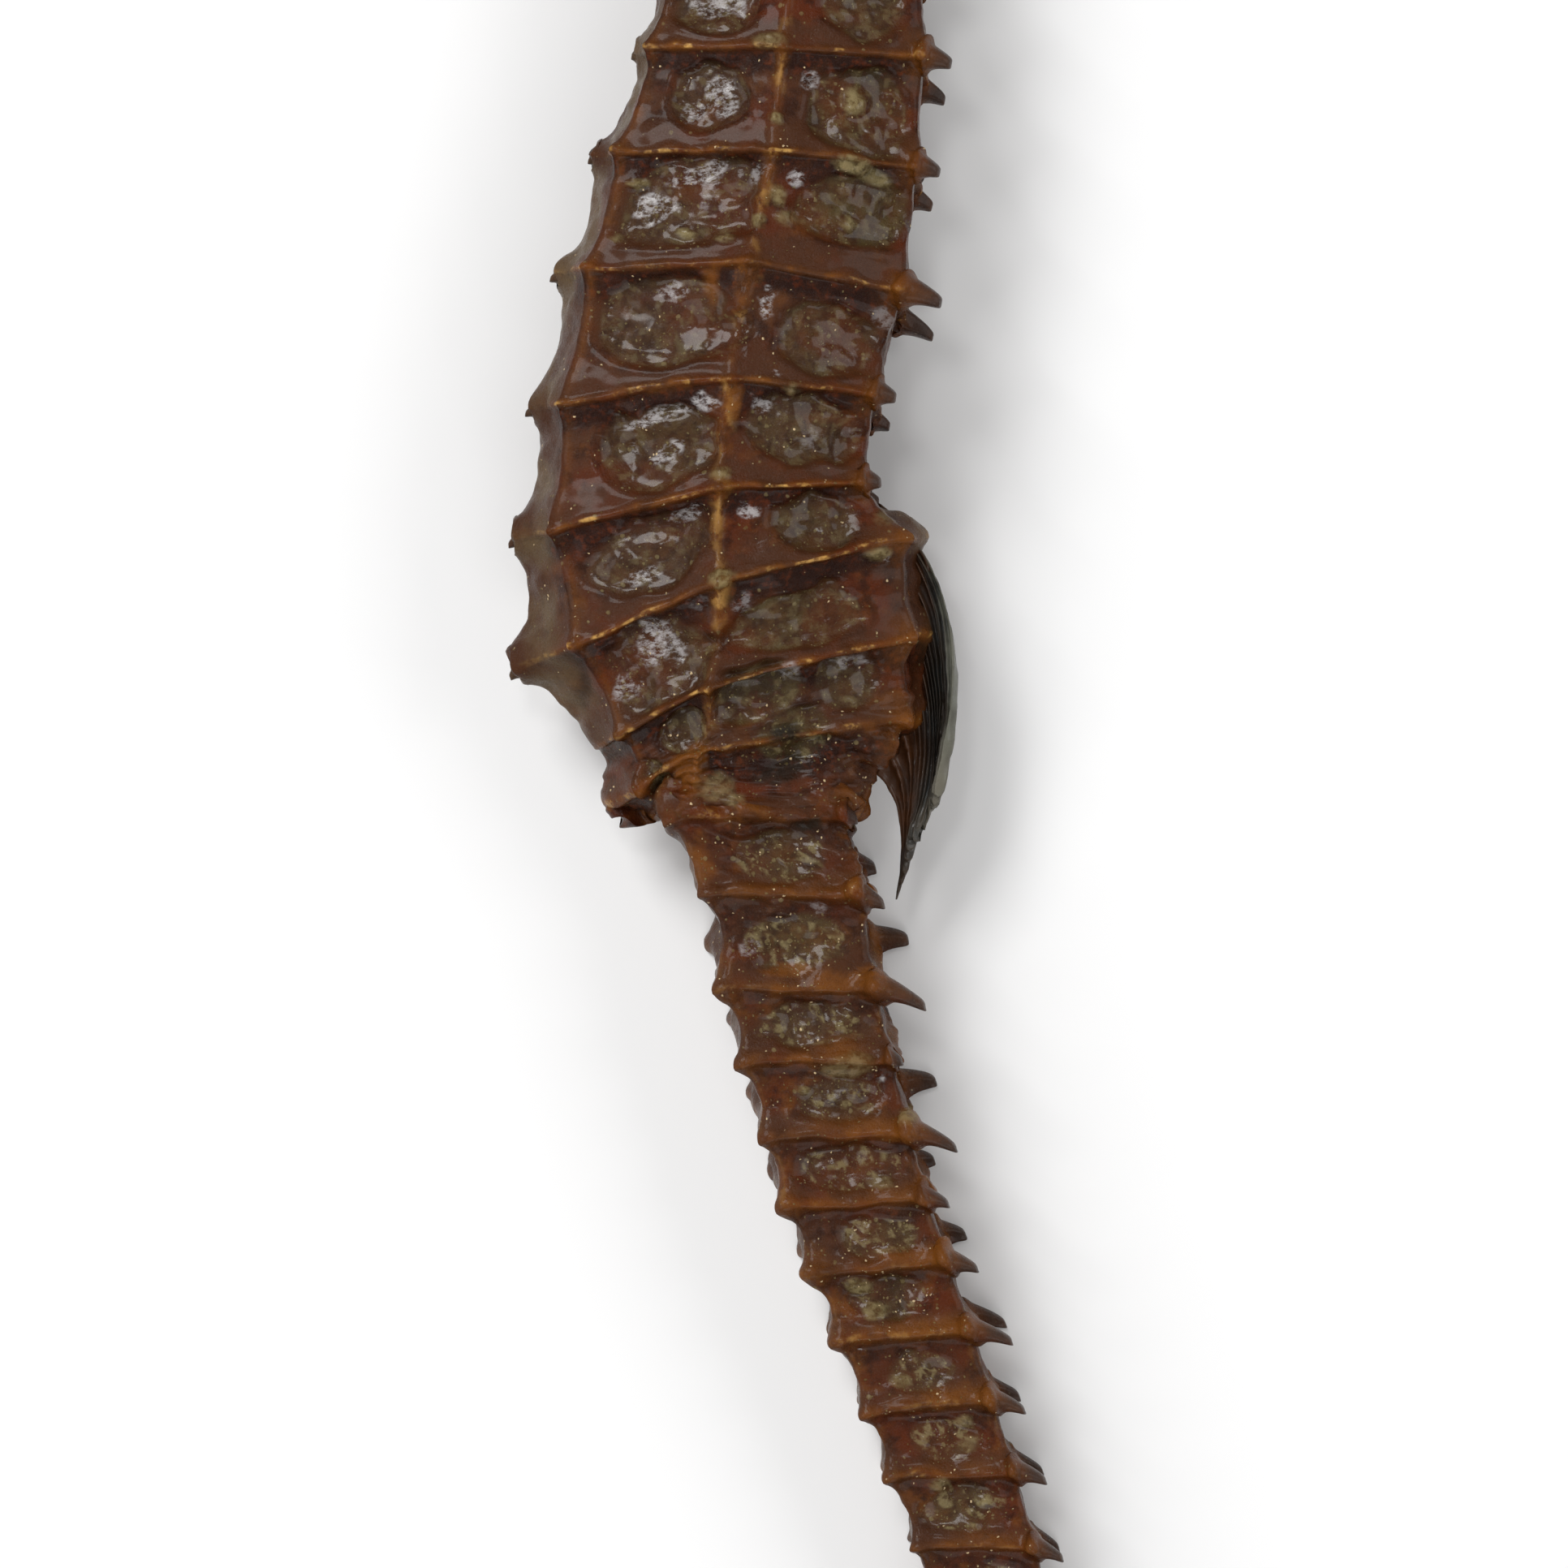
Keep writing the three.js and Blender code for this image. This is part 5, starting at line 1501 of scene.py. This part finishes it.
@dataclass(frozen=True)
class ArmourFinish:
    """The varnished brown of the dried plates, with amber ridges, cloudy hollows, salt and dust, and painted
    highlights, glints and reflections.
    """

    name: str = "dried_armour"
    plum: Colour = srgb(68, 39, 22)
    russet: Colour = srgb(80, 33, 9)
    shade: Colour = srgb(34, 13, 5)
    amber: Colour = srgb(114, 66, 20)
    # Painted highlight: the pale yellow where the lamps catch crests and ridges.
    glow: Colour = srgb(216, 168, 92)
    cloud: Colour = srgb(72, 50, 33)
    olive: Colour = srgb(70, 60, 34)
    pit: Colour = srgb(36, 23, 14)
    horn: Colour = srgb(90, 72, 50)
    # Salt crust, laid on as well where reflections of the lamps are painted in the hollows.
    salt: Colour = srgb(190, 186, 186)
    dust: Colour = srgb(138, 124, 86)
    # Painted highlight: the colour of the tiny glints.
    glint: Colour = srgb(232, 204, 160)
    tip: Colour = srgb(60, 45, 38)

    def build(self, effects: Effects) -> bpy.types.Material:
        """Returns the material.

        Args:
            effects: The groups that finishes share.
        """
        material, g = new_material(self.name)
        coords = g.node("TexCoord").outputs["Object"]
        crest, band, window, ridge = g.masks("plate")
        keel, lower, tip, tone = g.masks("place")
        frost_and_reflection, dust_and_glint_share, fibre = g.masks("bloom")[:3]
        lump, gold, stain, rim = g.masks("mark")
        broad = g.lumps(coords, 2.6, 3)
        patch = g.lumps(coords, 0.75, 4, 0.6)
        grain = g.group(effects.grain, {"Vector": coords, "Scale": 1 / (0.34 * MM)})
        fine = grain.outputs["Tone"]
        colour = g.mix(g.span(broad, 0.36, 0.62), self.russet, self.plum)
        warm = g.lumps(coords, 1.4, 3, 0.55)
        rusty = g.mix(g.span(fine, 0.48, 0.75), self.shade, self.russet)
        cloudy = g.mix(tone, self.cloud, self.olive)
        clouded = g.mix(g.times(g.span(fine, 0.42, 0.66), 0.75), cloudy, self.pit)
        clouded = g.over(clouded, self.russet, g.span(broad, 0.55, 0.4), 0.45)
        grit = g.times(
            g.span(window, 0.4, 0.8), g.span(fibre, 0.45, 0.9), g.span(fine, 0.38, 0.6), dust_and_glint_share,
        )
        lit = g.math("ADD", g.times(fibre, 0.4), g.times(fine, 0.9))
        broken = g.span(g.lumps(coords, 1.1, 2), 0.44, 0.62)
        # Painted highlights: broken pale dashes along the crests and the side ridge.
        painted_highlights = g.times(
            g.span(crest, 0.6, 1.0), g.span(g.lumps(coords, 0.9, 3), 0.5, 0.64), g.span(fine, 0.38, 0.6),
        )
        painted_highlights = g.math("MAXIMUM", painted_highlights, g.times(ridge, broken, g.span(lit, 0.6, 0.85), 0.8))
        # Painted reflections and salt: pale patches in the hollows, streaked at a slant.
        streaks = g.node(
            "Mapping", {"Vector": coords, "Rotation": (0, 0, math.radians(-35)), "Scale": (1, 1.7, 1)},
        )
        bloom = g.lumps(streaks.outputs[0], 0.5, 5, 0.75)
        salt_and_reflection = g.times(g.span(frost_and_reflection, 0.2, 0.9), g.span(bloom, 0.43, 0.6))
        salt_and_reflection_film = g.times(g.span(window, 0.3, 0.9), g.span(bloom, 0.58, 0.72), 0.2)
        salt_and_reflection = g.math("MAXIMUM", salt_and_reflection, salt_and_reflection_film)
        grains = g.group(
            effects.specks,
            {
                "Vector": coords, "Scale": 1 / (0.26 * MM),
                "Amount": g.times(dust_and_glint_share, g.math("ADD", g.times(window, 0.35), 0.05)),
            },
        )
        crumbs = g.group(
            effects.specks,
            {
                "Vector": coords, "Scale": 1 / (0.13 * MM),
                "Amount": g.times(dust_and_glint_share, g.math("ADD", g.times(window, 0.5), 0.12)),
            },
        )
        dusted = g.math("MAXIMUM", g.times(grains.outputs[0], 0.55), g.times(crumbs.outputs[0], 0.7))
        dusted = g.math("MAXIMUM", dusted, g.times(lump, g.span(fine, 0.3, 0.55, 0.5, 1.0)))
        # Painted highlights: tiny warm glints, as on wet bumps.
        painted_glints = g.group(
            effects.specks,
            {
                "Vector": coords, "Scale": 1 / (0.13 * MM),
                "Amount": g.times(dust_and_glint_share, g.span(patch, 0.45, 0.62, 0.0, 0.12)),
            },
        )
        horned = g.times(
            g.span(tip, 0.1, 0.8), g.span(patch, 0.3, 0.6, 0.7, 0.95), g.span(keel, 0.2, 0.8, 1.0, 0.5),
        )
        for paint, *shares in (
            (self.amber, g.span(warm, 0.52, 0.68), g.span(dust_and_glint_share, 0.3, 1.0, 0.3, 0.5)),
            (self.shade, g.span(patch, 0.46, 0.66), 0.7),
            (self.plum, lower, g.span(patch, 0.25, 0.6, 0.4, 0.9)),
            (rusty, band, g.span(patch, 0.25, 0.6, 0.7, 1.0)),
            (clouded, g.span(window, 0.1, 0.95), g.span(patch, 0.32, 0.62, 0.84, 0.4)),
            (self.shade, rim, g.span(patch, 0.35, 0.6, 0.1, 0.6)),
            (self.dust, grit, 0.55),
            (self.amber, ridge, g.span(lit, 0.3, 0.8, 0.25, 0.9)),
            (self.amber, crest, g.span(patch, 0.3, 0.6, 0.4, 0.9), g.math("ADD", g.times(broken, 0.7), 0.3)),
            # Painted highlights on crests and ridges, weaker on the tail.
            (self.glow, painted_highlights, g.span(dust_and_glint_share, 0.3, 1.0, 0.75, 0.3)),
            (self.amber, gold, g.span(fine, 0.25, 0.6, 0.45, 0.9)),
            (g.mix(g.span(broad, 0.4, 0.62), self.horn, self.plum), keel, g.span(patch, 0.2, 0.6, 0.6, 0.9)),
            (self.pit, keel, g.span(fine, 0.5, 0.8, 0.0, 0.4)),
            (srgb(34, 28, 20), stain, g.span(fine, 0.3, 0.6, 0.6, 0.95)),
            # Salt colour: salt crust and painted reflections of the lamps.
            (self.salt, salt_and_reflection, 0.66),
            (g.mix(g.span(fine, 0.3, 0.6), srgb(96, 82, 44), self.dust), dusted, 0.75),
            # Painted glints.
            (self.glint, painted_glints.outputs[0], 0.6),
            (self.tip, horned),
        ):
            colour = g.over(colour, paint, *shares)
        sheen = g.span(fine, 0.3, 0.7, 0.2, 0.36)
        rough = g.node(
            "Mix", {0: g.math("MAXIMUM", g.times(salt_and_reflection, 0.5), dusted), 2: sheen, 3: 0.62}, data_type="FLOAT",
        ).outputs[0]
        height = g.math("ADD", g.times(grain.outputs["Height"], 0.62), g.times(dusted, 0.26))
        height = g.math("ADD", height, g.times(fibre, ridge, 0.14))
        height = g.math("ADD", g.times(height, 0.7), g.times(g.lumps(coords, 0.11, 2, 0.6), 0.13))
        height = g.math("ADD", height, g.times(g.lumps(coords, 0.55, 2), 0.3))
        bump = g.node("Bump", {"Height": height, "Strength": 0.8, "Distance": 0.00024})
        shader = g.node("BsdfPrincipled", {
            "Base Color": colour, "Roughness": rough, "Normal": bump.outputs[0], "Specular IOR Level": 0.1,
            "Coat Weight": g.math(
                "SUBTRACT", g.span(window, 0.2, 0.8, 0.1, 0.28), g.times(keel, 0.1),
            ), "Coat Roughness": 0.13,
        })
        g.finish(shader)
        return material


@dataclass(frozen=True)
class FinFinish:
    """Dark horn rays with blue-grey membrane, pale at the rim and brown at the root."""

    name: str = "dried_fin"
    root: Colour = srgb(84, 50, 27)
    membrane: Colour = srgb(104, 104, 92)
    dark: Colour = srgb(33, 26, 20)
    rays: Colour = srgb(50, 42, 33)

    def build(self, effects: Effects) -> bpy.types.Material:
        """Returns the material, with the grain that the finishes share."""
        material, g = new_material(self.name)
        coords = g.node("TexCoord").outputs["Object"]
        ray, outward, joints, tone = g.masks("fin")
        patch = g.lumps(coords, 1.3, 3, 0.6)
        grain = g.group(effects.grain, {"Vector": coords, "Scale": 1 / (0.25 * MM)})
        spread = g.node("Attribute", attribute_name="across").outputs["Fac"]
        colour = g.mix(g.span(patch, 0.4, 0.6), srgb(38, 40, 39), self.dark)
        edge = g.math("ADD", spread, g.times(g.lumps(coords, 0.9, 3), 0.22))
        for paint, *shares in (
            (self.rays, ray, g.span(grain.outputs["Tone"], 0.2, 0.6, 0.5, 0.95)),
            (self.dark, joints, 0.35),
            (self.membrane, g.span(edge, 0.22, 0.08), 0.85),
            (
                self.root, g.span(spread, 0.5, 0.85), g.span(patch, 0.25, 0.6, 0.55, 0.95),
                g.span(outward, 0.55, 0.85, 1.0, 0.2),
            ),
            (self.root, g.span(outward, 0.4, 0.0), g.span(patch, 0.25, 0.6, 0.6, 1.0)),
            (srgb(110, 104, 90), g.span(outward, 0.8, 1.0), g.span(spread, 0.35, 0.6, 0.55, 0.1)),
        ):
            colour = g.over(colour, paint, *shares)
        height = g.math("ADD", g.times(grain.outputs["Height"], 0.6), g.times(joints, 0.2))
        bump = g.node("Bump", {"Height": height, "Strength": 0.6, "Distance": 0.00015})
        shader = g.node("BsdfPrincipled", {
            "Base Color": colour, "Roughness": g.span(tone, 0.2, 0.8, 0.28, 0.5), "Normal": bump.outputs[0],
            "Specular IOR Level": 0.25, "Coat Weight": 0.25, "Coat Roughness": 0.15,
        })
        g.finish(shader)
        return material


@dataclass(frozen=True)
class EyeFinish:
    """A clouded dark eye with a brown ring around the pupil."""

    name: str = "dried_eye"
    white: Colour = srgb(96, 84, 68)
    iris: Colour = srgb(120, 84, 40)
    pupil: Colour = srgb(16, 13, 12)

    def build(self, effects: Effects) -> bpy.types.Material:
        """Returns the material, with the grain that the finishes share."""
        material, g = new_material(self.name)
        coords = g.node("TexCoord").outputs["Object"]
        pupil, ring, rim, tone = g.masks("eye")
        grain = g.group(effects.grain, {"Vector": coords, "Scale": 1 / (0.3 * MM)})
        colour = g.mix(g.span(grain.outputs["Tone"], 0.35, 0.65), self.white, srgb(48, 36, 26))
        for paint, *shares in (
            (srgb(40, 28, 20), rim, 0.7),
            (self.iris, ring, 0.9),
            (self.pupil, pupil),
        ):
            colour = g.over(colour, paint, *shares)
        bump = g.node("Bump", {"Height": grain.outputs["Height"], "Strength": 0.25, "Distance": 0.00008})
        shader = g.node("BsdfPrincipled", {
            "Base Color": colour, "Roughness": g.span(tone, 0.2, 0.8, 0.12, 0.3), "Normal": bump.outputs[0],
            "Coat Weight": 0.6, "Coat Roughness": 0.08,
        })
        g.finish(shader)
        return material


def dress(obj: Piece, material: bpy.types.Material) -> None:
    """Gives an object one material in place of any that it has."""
    obj.data.materials.clear()
    obj.data.materials.append(material)


def present(piece: Piece, material: bpy.types.Material) -> None:
    """Dresses a piece, sets it on the body and reports it.

    Args:
        piece: The piece.
        material: Its finish.
    """
    dress(piece, material)
    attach(piece, "root")
    LOG.info("%s: %d faces", piece.name, len(piece.data.polygons))


@dataclass(frozen=True)
class Lamp:
    """A soft light: its name, place, size and power."""

    name: str
    place: tuple[float, float, float]
    size: float
    power: float


class Studio:
    """The pale floor, the soft lights and the camera that looks straight down."""

    LAMPS = (
        Lamp("key", (-0.16, 0.2, 0.26), 0.14, 0.8),
        Lamp("right", (0.26, 0.05, 0.2), 0.2, 0.42),
        Lamp("low", (0.02, -0.28, 0.22), 0.2, 0.4),
        Lamp("left", (-0.28, -0.06, 0.2), 0.2, 0.32),
        Lamp("glint", (-0.05, 0.1, 0.34), 0.05, 0.12),
    )

    FOCAL_LENGTH = 200
    SENSOR = 36
    FRAME_WIDTH = 0.0599
    FOCUS_HEIGHT = 0.0043
    FLOOR_DROP = 0.00003
    SKY_LIGHT = 0.16

    def build(self) -> None:
        """Sets up the stage."""
        middle = Vector((-OUTLINE_MIDDLE[0] * MM, -OUTLINE_MIDDLE[1] * MM, 0.0))
        camera = bpy.data.objects.new("camera", bpy.data.cameras.new("camera"))
        bpy.context.collection.objects.link(camera)
        camera.data.lens = self.FOCAL_LENGTH
        camera.data.sensor_width = self.SENSOR
        camera.data.clip_start = 0.01
        camera.location = (
            middle.x, middle.y, self.FOCUS_HEIGHT + self.FRAME_WIDTH * self.FOCAL_LENGTH / self.SENSOR,
        )
        bpy.context.scene.camera = camera
        for lamp in self.LAMPS:
            light = bpy.data.lights.new(lamp.name, "AREA")
            light.size, light.energy = lamp.size, lamp.power
            holder = bpy.data.objects.new(lamp.name, light)
            bpy.context.collection.objects.link(holder)
            holder.location = middle + Vector(lamp.place)
            holder.rotation_euler = (-Vector(lamp.place)).to_track_quat("-Z", "Y").to_euler()
        world = bpy.data.worlds.new("world")
        bpy.context.scene.world = world
        world.use_nodes = True
        back = world.node_tree.nodes["Background"]
        back.inputs[0].default_value = (1, 1, 1, 1)
        back.inputs[1].default_value = self.SKY_LIGHT
        bpy.ops.object.select_all(action="DESELECT")
        bpy.ops.mesh.primitive_plane_add(size=3, location=(0, 0, -self.FLOOR_DROP))
        floor = bpy.context.object
        floor.name = floor.data.name = "floor"
        paper, g = new_material("pale_floor")
        g.finish(g.node("BsdfPrincipled", {"Base Color": (0.9, 0.9, 0.9, 1), "Roughness": 0.9}))
        dress(floor, paper)
        bpy.context.scene.view_settings.view_transform = "Standard"


def main() -> None:
    """Builds the seahorse, its floor, lights and camera."""
    logging.basicConfig(level=logging.INFO, format="%(message)s")
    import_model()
    line = BodyLine()
    effects = Effects()
    armour = ArmourFinish().build(effects)
    trunk = TrunkSkin(line).build()
    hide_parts("neck", "trunk_upper", "trunk_middle", "trunk_lower")
    tail = TailSkin(line).build()
    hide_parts(*[f"tail_{i}" for i in range(1, 11)])
    head = HeadSkin().build()
    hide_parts("head", "snout", "crown")
    for piece in (trunk, tail, head):
        present(piece, armour)
    eye_finish = EyeFinish().build(effects)
    for side, node in ((1, "eye_left"), (-1, "eye_right")):
        eye = Eye(side).build()
        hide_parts(node)
        present(eye, eye_finish)
    fin_finish = FinFinish().build(effects)
    for kind in FinKind:
        fin = Fin(kind, line)
        sheet = fin.build()
        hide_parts(fin.node)
        present(sheet, armour if kind is FinKind.VENT else fin_finish)
    Studio().build()


if __name__ == "__main__":
    main()
